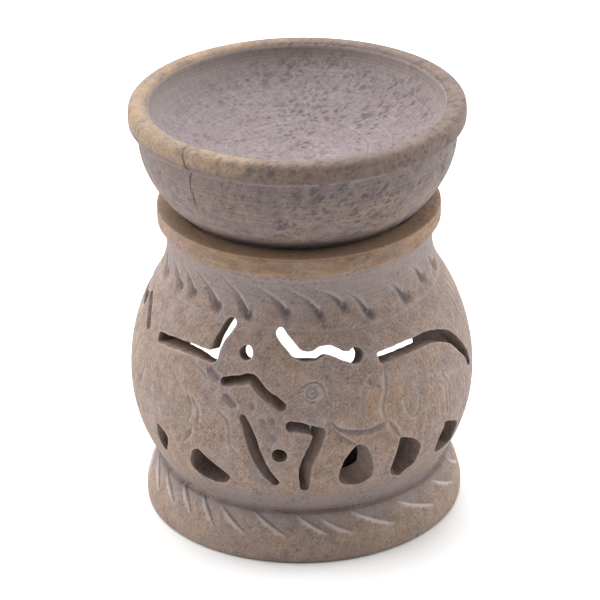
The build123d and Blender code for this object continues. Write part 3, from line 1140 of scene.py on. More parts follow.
class WickTree(Tree):
    """Geometry Nodes that twist a few cotton strands into a wick."""

    def __init__(self) -> None:
        """Build the tree."""
        number = "NodeSocketFloat"
        sizes = {"Strands": "NodeSocketInt", "Turns": number, "Height": number}
        widths = {"Twist Radius": number, "Strand Radius": number, "Base": number}
        super().__init__("twisted_wick", {**sizes, **widths, "Finish": "NodeSocketMaterial"})
        radius = self.start["Twist Radius"]
        shape = {"Start Radius": radius, "End Radius": radius, "Height": self.start["Height"]}
        shape |= {"Resolution": 24, "Rotations": self.start["Turns"]}
        strand = self.add("GeometryNodeCurveSpiral", shape).outputs[0]
        thick = {"Resolution": 10, "Radius": self.start["Strand Radius"]}
        ring = self.add("GeometryNodeCurvePrimitiveCircle", thick).outputs[0]
        tube = {"Curve": strand, "Profile Curve": ring, "Fill Caps": True}
        rope = self.add("GeometryNodeCurveToMesh", tube).outputs[0]
        spots = self.add("GeometryNodePoints", {"Count": self.start["Strands"]}).outputs[0]
        index = self.add("GeometryNodeInputIndex").outputs[0]
        share = self.math("DIVIDE", self.math("MULTIPLY", index, 2 * math.pi), self.start["Strands"])
        turn = self.add("ShaderNodeCombineXYZ", {2: share}).outputs[0]
        laid = {"Points": spots, "Instance": rope, "Rotation": turn}
        strands = self.add("GeometryNodeInstanceOnPoints", laid).outputs[0]
        lift = self.add("ShaderNodeCombineXYZ", {2: self.start["Base"]}).outputs[0]
        raised = self.add("GeometryNodeTransform", {"Geometry": strands, "Translation": lift}).outputs[0]
        self.close(raised, self.start["Finish"])


@dataclass
class TeaLight:
    """A low tea light: pressed cup, wax, sustainer and wick."""

    radius: float = 19.0
    wall_radius: float = 18.4
    sheet: float = 0.3
    base: float = 13.0
    top: float = 24.5
    wax_radius: float = 18.0
    wax_top: float = 23.3
    disc_radius: float = 6.0
    bore_radius: float = 0.8
    collar_radius: float = 1.2
    collar_height: float = 3.0
    wick_top: float = 28.3

    def cup(self) -> np.ndarray:
        """Draw the section of the cup with its rolled bead."""
        low = self.base + self.sheet
        inner = self.wall_radius - self.sheet
        bead = (self.radius - inner) / 2
        line = Section()
        line.line((0.0, self.base + 0.1), (10.0, self.base + 0.1), (11.0, self.base), (17.4, self.base))
        line.line((self.wall_radius, self.base + 1.0), (self.wall_radius, self.top - 2 * bead))
        line.arc((inner + bead, self.top - bead), (bead, bead), -70, 180)
        line.line((inner, self.base + 1.1), (17.2, low), (11.0, low), (10.0, low + 0.05), (0.0, low + 0.05))
        run = line.worn(0.1)
        run[0, 0] = run[-1, 0] = 0.0
        return run[pick_rows(run, np.full(len(run), 1.4), 16)]

    def wax(self) -> np.ndarray:
        """Draw the wax's section, hollow for the sustainer and the wick, its edge crept up the cup."""
        low = self.base + self.sheet
        pocket = low + self.sheet + 0.1
        bore = self.bore_radius
        line = Section()
        collar_top = pocket + self.collar_height
        line.line((bore, collar_top), (self.collar_radius + 0.1, collar_top))
        line.line((self.collar_radius + 0.1, pocket), (self.disc_radius + 0.1, pocket))
        line.line((self.disc_radius + 0.1, low), (self.wax_radius - 0.3, low + 0.02))
        line.line((self.wax_radius, low + 1.2), (self.wax_radius, self.wax_top))
        line.line((17.6, self.wax_top - 0.1), (16.6, self.wax_top - 0.35), (12.0, self.wax_top - 0.45))
        line.line((3.4, self.wax_top - 0.4), (1.7, self.wax_top - 0.2), (bore, self.wax_top))
        line.line((bore, pocket + self.collar_height))
        run = line.worn(0.12)
        run[-1] = run[0]
        return run[pick_rows(run, np.full(len(run), 1.2), 16)]

    def sustainer(self) -> np.ndarray:
        """Draw the section of the disc and collar that hold the wick."""
        low = self.base + self.sheet
        top = low + self.sheet
        line = Section()
        line.line((0.0, low), (self.disc_radius, low), (self.disc_radius, top), (self.collar_radius, top))
        line.line((self.collar_radius, top + self.collar_height))
        line.line((self.bore_radius, top + self.collar_height))
        line.line((self.bore_radius, top), (0.0, top))
        run = line.worn(0.05, 0.02)
        run[0, 0] = run[-1, 0] = 0.0
        return run[pick_rows(run, np.full(len(run), 1.0), 20)]

    def build(self, tree: LatheTree, finishes: dict[str, bpy.types.Material]) -> dict[str, bpy.types.Object]:
        """Make the four pieces.

        Args:
            tree: The lathe.
            finishes: Materials by the pieces' node names.

        Returns:
            The finished objects by node name.
        """
        made = {}
        cup = self.cup()
        upright = ((cup[:, 1] > self.base + 2) & (cup[:, 1] < self.top - 2)).astype(float)
        ribs = {"flutes": 48, "flute_depth": 0.04, "fluted": upright}
        node = "tea_light_cup"
        made[node] = Turned("candle_cup", cup, 192, **ribs).build(tree, finishes[node])
        node = "tea_light_wax"
        made[node] = Turned("candle_wax", self.wax(), 96).build(tree, finishes[node])
        node = "wick_sustainer"
        made[node] = Turned("wick_holder", self.sustainer(), 64).build(tree, finishes[node])
        node = "wick"
        base = self.base + 2 * self.sheet
        mesh = bpy.data.meshes.new("candle_wick")
        made[node] = add_object("candle_wick", mesh)
        height = (self.wick_top - base - 0.3) * MM
        sizes = {"Strands": 3, "Turns": 5.0, "Height": height, "Base": (base + 0.15) * MM}
        widths = {"Twist Radius": 0.34 * MM, "Strand Radius": 0.35 * MM}
        WickTree().run(made[node], {**sizes, **widths, "Finish": finishes[node]})
        return made


def paint(red: float, green: float, blue: float) -> tuple[float, float, float, float]:
    """Turn a colour as a screen shows it, 0 to 255, into the shader's linear colour."""
    parts = [value / 255 for value in (red, green, blue)]
    return (*[v / 12.92 if v <= 0.04045 else ((v + 0.055) / 1.055) ** 2.4 for v in parts], 1.0)


class Shader(Desk):
    """Nodes of one material."""

    def __init__(self, name: str) -> None:
        """Start a material with its surface shader."""
        self.material = bpy.data.materials.new(name)
        self.material.use_nodes = True
        super().__init__(self.material.node_tree)
        self.surface = self.add("ShaderNodeBsdfPrincipled")
        self.add("ShaderNodeOutputMaterial", {"Surface": self.surface.outputs[0]})
        self.here = self.add("ShaderNodeTexCoord").outputs["Object"]

    def noise(
        self,
        size: float,
        detail: float = 4.0,
        rough: float = 0.55,
        stretch: tuple = (1.0, 1.0, 1.0),
        turn: tuple = (0.0, 0.0, 0.0),
    ) -> bpy.types.NodeSocket:
        """Make cloudy noise.

        Args:
            size: Size of its clouds in millimetres.
            detail: How many finer layers it has.
            rough: How strong these are.
            stretch: How much longer the clouds are along their own three axes.
            turn: How these axes are turned about X, Y and Z, in degrees.

        Returns:
            The noise, about 0.5 on average.
        """
        scale = tuple(size * MM * part for part in stretch)
        inputs = {"Vector": self.here, "Rotation": tuple(math.radians(part) for part in turn), "Scale": scale}
        spot = self.add("ShaderNodeMapping", inputs, vector_type="TEXTURE").outputs[0]
        inputs = {"Vector": spot, "Scale": 1.0, "Detail": detail, "Roughness": rough}
        return self.add("ShaderNodeTexNoise", inputs).outputs[0]

    def spots(self, size: float, stretch: tuple, turn: tuple, share: float) -> bpy.types.NodeSocket:
        """Scatter soft uneven spots.

        Args:
            size: About how far apart they are, in millimetres.
            stretch: How much longer they are along their own three axes.
            turn: How these axes are turned about X, Y and Z, in degrees.
            share: How many of the possible spots there are, from 0 to 1.

        Returns:
            A share from 0 to 1 that is high in the spots.
        """
        inputs = {"Vector": self.here, "Scale": 1.6 / (size * MM), "Detail": 3.0}
        blur = self.add("ShaderNodeTexNoise", inputs).outputs[1]
        push = self.vector("SCALE", self.vector("SUBTRACT", blur, (0.5, 0.5, 0.5)).outputs[0])
        push.inputs["Scale"].default_value = 0.9 * size * MM
        spot = self.vector("ADD", self.here, push.outputs[0]).outputs[0]
        scale = tuple(size * MM * part for part in stretch)
        inputs = {"Vector": spot, "Rotation": tuple(math.radians(part) for part in turn), "Scale": scale}
        spot = self.add("ShaderNodeMapping", inputs, vector_type="TEXTURE").outputs[0]
        cells = self.add("ShaderNodeTexVoronoi", {"Vector": spot, "Scale": 1.0})
        chance = self.add("ShaderNodeSeparateColor", {0: cells.outputs["Color"]}).outputs[0]
        strength = self.span(chance, 1.0 - share, 1.0 - 0.4 * share)
        return self.both(self.span(cells.outputs["Distance"], 0.52, 0.24), strength)

    def rings(self, run: Feed, width: float) -> bpy.types.NodeSocket:
        """Make uneven turning lines.

        Args:
            run: Where a point is along the turned section, in millimetres.
            width: About how far apart the lines are, in millimetres.

        Returns:
            The lines, about 0.5 on average.
        """
        drift = self.math("MULTIPLY", self.noise(14, 2), 1.4)
        row = self.math("ADD", self.math("DIVIDE", run, width), drift)
        spot = self.add("ShaderNodeCombineXYZ", {0: row}).outputs[0]
        inputs = {"Vector": spot, "Scale": 1.0, "Detail": 3.0, "Roughness": 0.6}
        return self.add("ShaderNodeTexNoise", inputs).outputs[0]

    def shade(
        self, colour: Feed, value: Feed, low: float, high: float, soft: float = 0.25
    ) -> bpy.types.NodeSocket:
        """Darken and lighten a colour by a noise.

        Args:
            colour: The colour.
            value: The noise.
            low: Factor where the noise is low.
            high: Factor where the noise is high.
            soft: How far from its middle the noise counts as low or high.

        Returns:
            The shaded colour.
        """
        tone = self.span(value, 0.5 - soft, 0.5 + soft, low, high)
        grey = self.add("ShaderNodeCombineColor", {0: tone, 1: tone, 2: tone}).outputs[0]
        return self.mix(1.0, colour, grey, "MULTIPLY")

    def both(self, *shares: Feed) -> bpy.types.NodeSocket:
        """Multiply shares."""
        total = shares[0]
        for share in shares[1:]:
            total = self.math("MULTIPLY", total, share)
        return total

    def place(self) -> tuple[bpy.types.NodeSocket, bpy.types.NodeSocket, bpy.types.NodeSocket]:
        """Read a point's X, Y and Z in millimetres."""
        wide = self.vector("SCALE", self.here)
        wide.inputs["Scale"].default_value = 1 / MM
        parts = self.add("ShaderNodeSeparateXYZ", {0: wide.outputs[0]}).outputs
        return parts[0], parts[1], parts[2]

    def mix(self, share: Feed, first: Feed, second: Feed, blend: str = "MIX") -> bpy.types.NodeSocket:
        """Mix two colours."""
        inputs = {0: share, 6: first, 7: second}
        return self.add("ShaderNodeMix", inputs, data_type="RGBA", blend_type=blend).outputs[2]

    def attribute(self, name: str) -> bpy.types.NodeSocket:
        """Read a number that the mesh keeps on its points."""
        return self.add("ShaderNodeAttribute", attribute_name=name).outputs["Fac"]

    def bump(self, height: Feed, depth: float, under: Feed | None = None) -> bpy.types.NodeSocket:
        """Raise the surface by a height.

        Args:
            height: The height from 0 to 1.
            depth: What 1 means, in millimetres.
            under: Normal of an earlier bump.

        Returns:
            The new normal.
        """
        inputs = {"Height": height, "Distance": depth * MM, "Strength": 1.0}
        if under is not None:
            inputs["Normal"] = under
        return self.add("ShaderNodeBump", inputs).outputs[0]

    def finish(self, colour: Feed, rough: Feed, normal: Feed | None = None) -> bpy.types.Material:
        """Connect colour, roughness and normal to the surface."""
        self.feed(self.surface.inputs["Base Color"], colour)
        self.feed(self.surface.inputs["Roughness"], rough)
        if normal is not None:
            self.feed(self.surface.inputs["Normal"], normal)
        return self.material


@dataclass(frozen=True)
class Soapstone:
    """Matt soapstone: a taupe ground with faint clouds, fine grain and dusty edges."""

    name: str
    ground: Colour = (137, 117, 107)
    warm: Colour = (139, 117, 102)
    grey: Colour = (131, 116, 111)
    fleck: Colour = (74, 58, 60)
    dust: Colour = (180, 168, 160)

    def base(self, shader: Shader) -> bpy.types.NodeSocket:
        """Mix the ground with its clouds and grain."""
        clouds = shader.span(shader.noise(17, 3), 0.38, 0.62)
        colour = shader.mix(clouds, paint(*self.ground), paint(*self.warm))
        veil = shader.span(shader.noise(8, 4, 0.6, (1.0, 1.0, 1.8), (0, 20, 0)), 0.45, 0.66, 0.0, 0.8)
        colour = shader.mix(veil, colour, paint(*self.grey))
        colour = shader.shade(colour, shader.noise(2.6, 4, 0.6), 0.84, 1.16, 0.18)
        return shader.shade(colour, shader.noise(0.45, 5, 0.8), 0.66, 1.34)

    def flecks(
        self, shader: Shader, colour: Feed, share: Feed, turn: tuple, size: float = 1.2
    ) -> bpy.types.NodeSocket:
        """Scatter short dark flecks that lie in one direction and gather in clusters.

        Args:
            shader: The material.
            colour: The colour under them.
            share: Where they are and how strong.
            turn: Their direction, as the noise's turn.
            size: Their width in millimetres.

        Returns:
            The colour with flecks.
        """
        dashes = shader.span(shader.noise(size, 2, 0.5, (1.0, 1.0, 1.8), turn), 0.53, 0.68)
        clusters = shader.span(shader.noise(8, 3, 0.6), 0.38, 0.58)
        return shader.mix(shader.both(dashes, clusters, share), colour, paint(*self.fleck))


@dataclass(frozen=True)
class PotStone(Soapstone):
    """The pot's stone: brown neck, greyer turned bands, filed flanks, sawn and engraved lines, with painted
    shade inside and in the deepest cuts, painted highlights along the cut edges, and painted light on the
    neck's left edge and top face.
    """

    neck: Colour = (132, 104, 80)
    turned: Colour = (131, 119, 116)
    ochre: Colour = (150, 116, 84)
    gouge: Colour = (134, 124, 126)
    pit_shade: Colour = (76, 66, 70)
    sawn: Colour = (92, 78, 74)
    neck_top_light: Colour = (156, 127, 104)
    sand: Colour = (154, 132, 114)
    chalk_and_highlight: Colour = (212, 203, 196)

    def make(self) -> bpy.types.Material:
        """Build the material."""
        shader = Shader(self.name)
        x, y, z = shader.place()
        colour = self.base(shader)
        files = shader.noise(0.5, 3, 0.65, (1.0, 1.0, 14.0), (4, 9, 0))
        colour = shader.shade(colour, files, 0.9, 1.1)
        for turn in ((12, -20, 0), (-8, 26, 0), (4, 62, 10)):
            threads = shader.span(shader.noise(0.32, 1, 0.4, (1.0, 1.0, 26.0), turn), 0.66, 0.72)
            colour = shader.mix(shader.both(threads, 0.32), colour, paint(*self.dust))
        lines = shader.rings(z, 0.45)
        patches = shader.noise(5, 3, 0.6)
        cove = shader.both(shader.span(z, 60.5, 64.0), shader.span(z, 70.4, 69.4))
        belt = shader.both(shader.span(z, 19.5, 15.5), shader.span(z, 8.5, 10.5))
        bands = shader.math("ADD", cove, belt, clamp=True)
        turned = shader.shade(paint(*self.turned), lines, 0.8, 1.2)
        colour = shader.mix(shader.both(bands, 0.75), colour, turned)
        brown = shader.shade(paint(*self.neck), lines, 0.82, 1.18)
        brown = shader.shade(brown, shader.noise(2.2, 4, 0.65, (2.6, 2.6, 1.0)), 0.68, 1.3, 0.2)
        neck = shader.both(shader.span(z, 69.6, 71.4), shader.span(patches, 0.3, 0.6, 0.55, 0.95))
        # The neck's brown fades towards its far left edge: painted light on the side where the light falls.
        neck = shader.both(neck, shader.span(x, -31.0, -18.0, 0.4, 1.0))
        colour = shader.mix(neck, colour, brown)
        # The neck's top face, which lies in the dish's shade, is painted a lighter warm tone: painted light.
        colour = shader.mix(shader.both(shader.span(z, 74.5, 74.9), 0.75), colour, paint(*self.neck_top_light))
        low = shader.both(shader.span(z, 8.0, 5.0), shader.span(patches, 0.4, 0.66, 0.15, 0.7))
        sandy = shader.shade(paint(*self.sand), shader.noise(0.6, 5, 0.7), 0.75, 1.25)
        colour = shader.mix(low, colour, sandy)
        here = shader.add("ShaderNodeCombineXYZ", {0: x, 1: y, 2: z}).outputs[0]
        off = shader.vector("DISTANCE", here, (17.3, -34.0, 40.5)).outputs["Value"]
        stain = shader.both(shader.span(off, 9.0, 3.0), shader.span(patches, 0.38, 0.6, 0.05, 0.4))
        colour = shader.mix(stain, colour, paint(*self.ochre))
        colour = self.flecks(shader, colour, 0.5, (0, 55, 0), 0.6)
        # The sawn walls and the inside of the pot below the middle are painted darker: painted shade in the
        # hollow, over the sawn faces' own tone.
        sawn = shader.both(shader.span(shader.attribute("outside"), 0.6, 0.1), shader.span(z, 46.0, 36.0))
        colour = shader.mix(shader.both(sawn, 0.38), colour, paint(*self.sawn))
        edge = shader.math("POWER", shader.attribute("edge"), 6.0)
        dusty = shader.both(edge, shader.span(patches, 0.35, 0.6, 0.25, 0.7))
        colour = shader.mix(dusty, colour, paint(*self.dust))
        cut = shader.attribute("cut")
        colour = shader.mix(shader.both(shader.span(cut, 0.02, 0.4), 0.5), colour, paint(*self.gouge))
        # The deepest parts of the cuts are painted dark: painted shade in the hollows, over the cuts' own
        # bluish grey.
        colour = shader.mix(shader.both(shader.span(cut, 0.4, 0.85), 0.85), colour, paint(*self.pit_shade))
        # The crisp steep side of each cut is painted pale: chalky dust and a painted highlight along the
        # edge.
        crest = shader.both(shader.attribute("crest"), shader.span(z, 13.0, 16.0, 0.8, 0.3))
        colour = shader.mix(crest, colour, paint(*self.chalk_and_highlight))
        rough = shader.span(shader.noise(3, 4), 0.3, 0.7, 0.66, 0.82)
        normal = shader.bump(shader.noise(0.8, 5, 0.65), 0.1)
        flank = shader.span(shader.math("ABSOLUTE", x), 20.0, 36.0, 0.15, 1.0)
        wrinkles = shader.both(shader.noise(1.6, 3, 0.6, (1.0, 1.0, 7.0), (6, -8, 0)), flank)
        normal = shader.bump(wrinkles, 0.5, normal)
        normal = shader.bump(shader.both(lines, bands), 0.12, normal)
        return shader.finish(colour, rough, normal)


@dataclass(frozen=True)
class DishStone(Soapstone):
    """The dish's stone: purple-grey scratched bowl, ochre rim, turned lines under the lip, a dark crack, with
    the rim painted lighter on the left and darker to the right, painted light on the bowl's upper wall and
    painted shade under the dish near its seat.
    """

    bowl: Colour = (124, 112, 114)
    ochre: Colour = (150, 126, 99)
    bevel: Colour = (156, 144, 136)
    slate: Colour = (122, 118, 122)
    umber_and_shade: Colour = (103, 86, 79)
    seat: Colour = (70, 60, 58)
    scratch: Colour = (170, 160, 160)
    crack: Colour = (46, 40, 38)

    def make(self) -> bpy.types.Material:
        """Build the material."""
        shader = Shader(self.name)
        x, _, z = shader.place()
        zone = shader.attribute("zone")
        lines = shader.rings(shader.attribute("along"), 0.6)
        colour = self.base(shader)
        hollow = shader.span(zone, 1.55, 1.9)
        bowl = shader.shade(paint(*self.bowl), shader.noise(1.0, 6, 0.75), 0.76, 1.24)
        colour = shader.mix(shader.both(hollow, 0.9), colour, bowl)
        colour = shader.shade(colour, lines, 0.8, 1.2)
        collar = shader.both(shader.span(z, 90.0, 92.5), shader.span(z, 95.6, 94.9))
        streaks = shader.both(shader.span(zone, 1.2, 0.4), shader.span(lines, 0.46, 0.62, 0.05, 0.85))
        colour = shader.mix(shader.both(collar, streaks), colour, paint(*self.slate))
        rim = shader.both(shader.span(zone, 0.5, 0.9), shader.span(zone, 1.7, 1.3))
        patches = shader.noise(5, 3, 0.6)
        # The rim is painted darker umber over the middle and right and golden on its upper left: painted
        # shade and light from the left side, over the rim's own mottled umber and ochre.
        umber_and_shade = shader.shade(paint(*self.umber_and_shade), shader.noise(1.5, 4, 0.7), 0.72, 1.3, 0.18)
        colour = shader.mix(shader.both(rim, shader.span(x, -28.0, -6.0, 0.0, 0.85)), colour, umber_and_shade)
        golden_and_light = shader.both(rim, shader.span(x, 12.0, -24.0, 0.1, 0.9), shader.span(z, 95.6, 98.2))
        golden_and_light = shader.both(golden_and_light, shader.span(patches, 0.3, 0.6, 0.1, 0.95))
        ochre = shader.shade(paint(*self.ochre), shader.noise(0.9, 5, 0.7), 0.8, 1.2)
        colour = shader.mix(golden_and_light, colour, ochre)
        ring = shader.both(shader.span(zone, 1.1, 1.45), shader.span(zone, 1.9, 1.55))
        ring = shader.both(ring, shader.span(patches, 0.35, 0.6, 0.15, 0.6))
        colour = shader.mix(ring, colour, paint(*self.bevel))
        right = shader.span(x, -32.0, 4.0, 0.4, 1.0)
        gathered = shader.span(shader.noise(9, 3, 0.6), 0.36, 0.6, 0.35, 1.0)
        for size, share, strength in ((2.3, 0.55, 0.72), (1.3, 0.6, 0.8), (0.8, 0.6, 0.75)):
            spots = shader.spots(size, (1.0, 1.0, 1.5), (0, 52, 24), share)
            colour = shader.mix(shader.both(spots, gathered, right, strength), colour, paint(*self.fleck))
        for turn, size in ((34.0, 0.3), (-48.0, 0.26), (78.0, 0.32)):
            threads = shader.span(shader.noise(size, 1, 0.4, (1.0, 46.0, 46.0), (0, 0, turn)), 0.62, 0.7)
            where = shader.span(shader.noise(7, 2), 0.46, 0.6)
            colour = shader.mix(shader.both(threads, where, hollow, 0.26), colour, paint(*self.scratch))
        # The bowl's upper wall, which faces away from the light, is painted lighter with the bevel colour:
        # painted light.
        wall = shader.both(hollow, shader.span(z, 92.5, 98.4, 0.0, 0.5))
        colour = shader.mix(wall, colour, paint(*self.bevel))
        # The dish's underside just above where it sits in the pot is painted darker: painted shade between
        # the parts.
        seat_shade_mask = shader.both(shader.span(z, 80.0, 75.8, 0.0, 0.72), shader.span(zone, 0.5, 0.2))
        colour = shader.mix(seat_shade_mask, colour, paint(*self.seat))
        colour = shader.mix(shader.span(shader.attribute("cut"), 0.15, 0.6), colour, paint(*self.crack))
        rough = shader.span(shader.noise(3, 4), 0.3, 0.7, 0.64, 0.8)
        normal = shader.bump(shader.noise(0.8, 5, 0.65), 0.09)
        normal = shader.bump(lines, 0.1, normal)
        return shader.finish(colour, rough, normal)


@dataclass(frozen=True)
class PressedAluminium:
    """Thin drawn aluminium with fine upright drawing lines."""

    name: str
    colour: Colour = (148, 149, 152)

    def make(self) -> bpy.types.Material:
        """Build the material."""
        shader = Shader(self.name)
        lines = shader.noise(0.5, 3, 0.6, (1.0, 1.0, 14.0))
        tone = shader.span(lines, 0.3, 0.7, 0.86, 1.0)
        shade = shader.add("ShaderNodeCombineColor", {0: tone, 1: tone, 2: tone}).outputs[0]
        colour = shader.mix(1.0, paint(*self.colour), shade, "MULTIPLY")
        rough = shader.span(shader.noise(4, 3), 0.3, 0.7, 0.4, 0.55)
        shader.surface.inputs["Metallic"].default_value = 1.0
        return shader.finish(colour, rough, shader.bump(lines, 0.02))


@dataclass(frozen=True)
class CandleWax:
    """White candle wax with faint clouds and a softly uneven top."""

    name: str
    colour: Colour = (192, 187, 174)
    cloud: Colour = (178, 171, 155)

    def make(self) -> bpy.types.Material:
        """Build the material."""
        shader = Shader(self.name)
        clouds = shader.span(shader.noise(5, 3), 0.35, 0.65)
        colour = shader.mix(clouds, paint(*self.colour), paint(*self.cloud))
        shader.surface.inputs["Subsurface Weight"].default_value = 0.25
        shader.surface.inputs["Subsurface Radius"].default_value = (0.002, 0.0016, 0.001)
        shader.surface.inputs["Subsurface Scale"].default_value = 1.0
        rough = shader.span(shader.noise(3, 3), 0.3, 0.7, 0.38, 0.52)
        return shader.finish(colour, rough, shader.bump(shader.noise(2.5, 3), 0.08))


@dataclass(frozen=True)
class WaxedCotton:
    """Cotton strands, lightly waxed."""

    name: str
    colour: Colour = (196, 184, 158)
    shadow: Colour = (136, 122, 98)

    def make(self) -> bpy.types.Material:
        """Build the material."""
        shader = Shader(self.name)
        threads = shader.noise(0.22, 3, 0.6, (1.0, 1.0, 2.5))
        colour = shader.mix(shader.span(threads, 0.35, 0.65), paint(*self.shadow), paint(*self.colour))
        rough = shader.span(threads, 0.3, 0.7, 0.6, 0.8)
        return shader.finish(colour, rough, shader.bump(threads, 0.05))


@dataclass(frozen=True)
class TinnedSteel:
    """Dull tinned sheet steel."""

    name: str
    colour: Colour = (176, 176, 174)
    stain: Colour = (140, 138, 134)

    def make(self) -> bpy.types.Material:
        """Build the material."""
        shader = Shader(self.name)
        stains = shader.span(shader.noise(1.5, 4), 0.4, 0.7)
        colour = shader.mix(stains, paint(*self.colour), paint(*self.stain))
        shader.surface.inputs["Metallic"].default_value = 1.0
        rough = shader.span(shader.noise(0.8, 4), 0.3, 0.7, 0.3, 0.5)
        return shader.finish(colour, rough, shader.bump(shader.noise(0.4, 3), 0.01))


@dataclass
class Frieze:
    """The pierced and engraved elephants, and the leaf cuts above and below them."""

    step: float = 106.0

    def openings(self) -> tuple[Opening, ...]:
        """Draw every opening through the wall, as (angle, height)."""
        brow_line = ((-7.6, 56.9), (-4.1, 54.5), (-1.2, 52.8), (1.5, 52.3), (4.4, 52.5), (7.7, 53.3))
        brow_line += ((10.7, 53.3), (13.9, 52.5), (17.0, 51.6), (19.7, 51.6))
        brow_slot = Slot(brow_line, (1.2, 1.05, 1.0, 1.05))
        lean, swing = (27.0, 17.0, 20.0, 24.0, 20.0), (0.0, 0.0, 0.0, -6.0, -22.0)
        brow = Opening((brow_slot,), (), (((19.7, 51.6), 1.7),), lean, swing)
        curl = Opening((), (), (((-20.5, 52.5), 1.6),), (16.0,))
        trunk_line = ((-26.9, 45.7), (-21.8, 46.5), (-18.1, 47.2), (-16.1, 46.5))
        trunk_line += ((-13.3, 44.5), (-9.3, 42.8), (-7.3, 41.7))
        trunk = Opening((Slot(trunk_line, (1.15, 1.2, 1.2, 1.25)),), lean=(-12.0,))
        bar = Slot(((-3.9, 37.0), (-1.0, 36.8), (2.8, 36.0), (5.4, 35.4)), (1.25, 1.2, 1.2))
        leg_line = ((5.4, 35.3), (4.0, 32.2), (1.9, 29.0), (0.4, 25.5), (0.2, 20.3))
        leg = Slot(leg_line, (1.25, 1.4, 1.4, 1.4, 1.1))
        chest = Opening((bar, leg), lean=(-26.0,), swing=(-24.0,), taper=0.6)
        front_gap = ((18.2, 31.5), (21.5, 30.0), (23.2, 26.9), (24.2, 23.8), (24.0, 21.1), (20.4, 19.7))
        front_gap += ((17.7, 19.5), (13.3, 20.4), (11.8, 22.1), (12.0, 24.6), (13.5, 27.8), (16.3, 30.3))
        front = Opening((), (front_gap,), lean=(-32.0,), swing=(-32.0,), taper=0.4)
        back_line = ((28.9, 50.0), (37.2, 50.3), (45.1, 50.3), (52.0, 50.1), (58.8, 48.8), (64.2, 47.0))
        back_line += ((68.7, 44.0), (73.5, 40.4), (76.4, 36.9))
        back = Opening((Slot(back_line, (1.25, 1.35, 1.4, 1.35, 0.9), SlotEnd.SQUARE_START),), lean=(8.0,))
        belly_gap = ((33.3, 30.5), (39.2, 28.9), (43.2, 26.0), (43.2, 23.0), (41.5, 20.6), (37.9, 19.8))
        belly_gap += ((36.1, 18.5), (32.3, 19.6), (31.0, 21.7), (31.9, 25.0), (32.9, 28.1))
        belly = Opening((), (belly_gap,), lean=(-20.0,), taper=0.5)
        hind_gap = ((55.2, 28.8), (68.3, 24.4), (66.8, 18.9), (54.5, 19.9))
        hind_gap += ((52.4, 21.5), (53.0, 24.7), (55.0, 26.8))
        hind = Opening((), (hind_gap,), lean=(-10.0,))
        tail_line = ((-19.9, 38.3), (-17.7, 34.5), (-16.1, 30.4), (-13.4, 25.4), (-10.0, 21.7))
        tail_slot = Slot(tail_line, (0.8, 1.3, 1.35, 1.25, 1.0))
        tail = Opening((tail_slot,), lean=(-10.0,), swing=(14.0,), taper=0.4)
        plant = Opening((), (), (((-7.9, 29.5), 1.75),), lean=(-14.0,), taper=0.3)
        left_hind_gap = ((-37.5, 27.6), (-35.7, 26.6), (-29.8, 23.6), (-26.0, 21.7), (-27.3, 19.7))
        left_hind_gap += ((-31.0, 18.4), (-38.7, 19.0), (-42.4, 21.0), (-42.6, 22.5), (-40.3, 26.2))
        left_hind = Opening((), (left_hind_gap,), lean=(-12.0,))
        left_gap = ((-57.6, 29.4), (-51.4, 26.9), (-55.3, 21.7), (-57.5, 21.7), (-59.0, 24.3))
        left_belly = Opening((), (left_gap,))
        rump = Slot(((-61.0, 49.2), (-45.5, 50.3), (-33.6, 50.2)), (1.2, 1.2, 1.15), SlotEnd.SQUARE_START)
        raised = Slot(((-33.0, 50.2), (-32.2, 53.7), (-29.1, 57.5)), (1.05, 1.15, 1.4))
        rear = Opening((rump, raised), lean=(0.0, 0.0, 4.0, 14.0, 24.0), swing=(0.0, 0.0, 0.0, -12.0, -25.0))
        nape = Opening((Slot(((-81.6, 53.7), (-77.1, 52.4), (-71.7, 49.1)), (1.0, 1.2, 1.2)),))
        shown = [brow, curl, trunk, chest, front, back, belly, hind, tail, plant]
        shown += [left_hind, left_belly, rear, nape]
        again = [piece.turned(-self.step) for piece in (brow, curl, trunk, chest, front)]
        again += [piece.turned(self.step) for piece in (tail, plant)]
        return tuple(shown + again)

    def leaves(self) -> list[Groove]:
        """Cut the row of leaves on the shoulder: gouges that start thin and end wide and deep."""
        shown = [((-73.0, 66.3), (-61.1, 61.0)), ((-60.4, 66.2), (-51.1, 61.4))]
        shown += [((-49.8, 66.9), (-36.7, 60.6))]
        shown += [((-34.8, 67.9), (-22.2, 60.2)), ((-18.2, 66.7), (-6.1, 61.4)), ((-4.4, 66.5), (7.6, 60.8))]
        shown += [((4.5, 67.0), (17.8, 62.0)), ((17.1, 66.2), (28.7, 59.3)), ((38.1, 64.9), (47.9, 59.9))]
        shown += [((53.0, 66.3), (62.8, 61.2)), ((69.9, 64.8), (78.3, 60.8))]
        for number in range(15):
            angle = 84.0 + 13.4 * number + 0.9 * math.sin(2.3 * number)
            top, low = 66.5 + 0.4 * math.sin(number), 60.7 + 0.5 * math.cos(1.7 * number)
            shown.append(((angle, top), (angle + 11.4, low)))
        made = []
        for (a, top), (b, low) in shown:
            middle = ((a + b) / 2 + 0.7, (top + low) / 2 + 0.5)
            made.append(Groove(((a, top), middle, (b - 0.6, low + 0.4)), 0.7, 0.8, 1.5, GrooveForm.LEAF))
            made.append(Groove(((b - 0.3, low + 0.2), (b + 0.3, low - 0.2)), 0.8, 1.7, 1.7, GrooveForm.DOT))
        return made

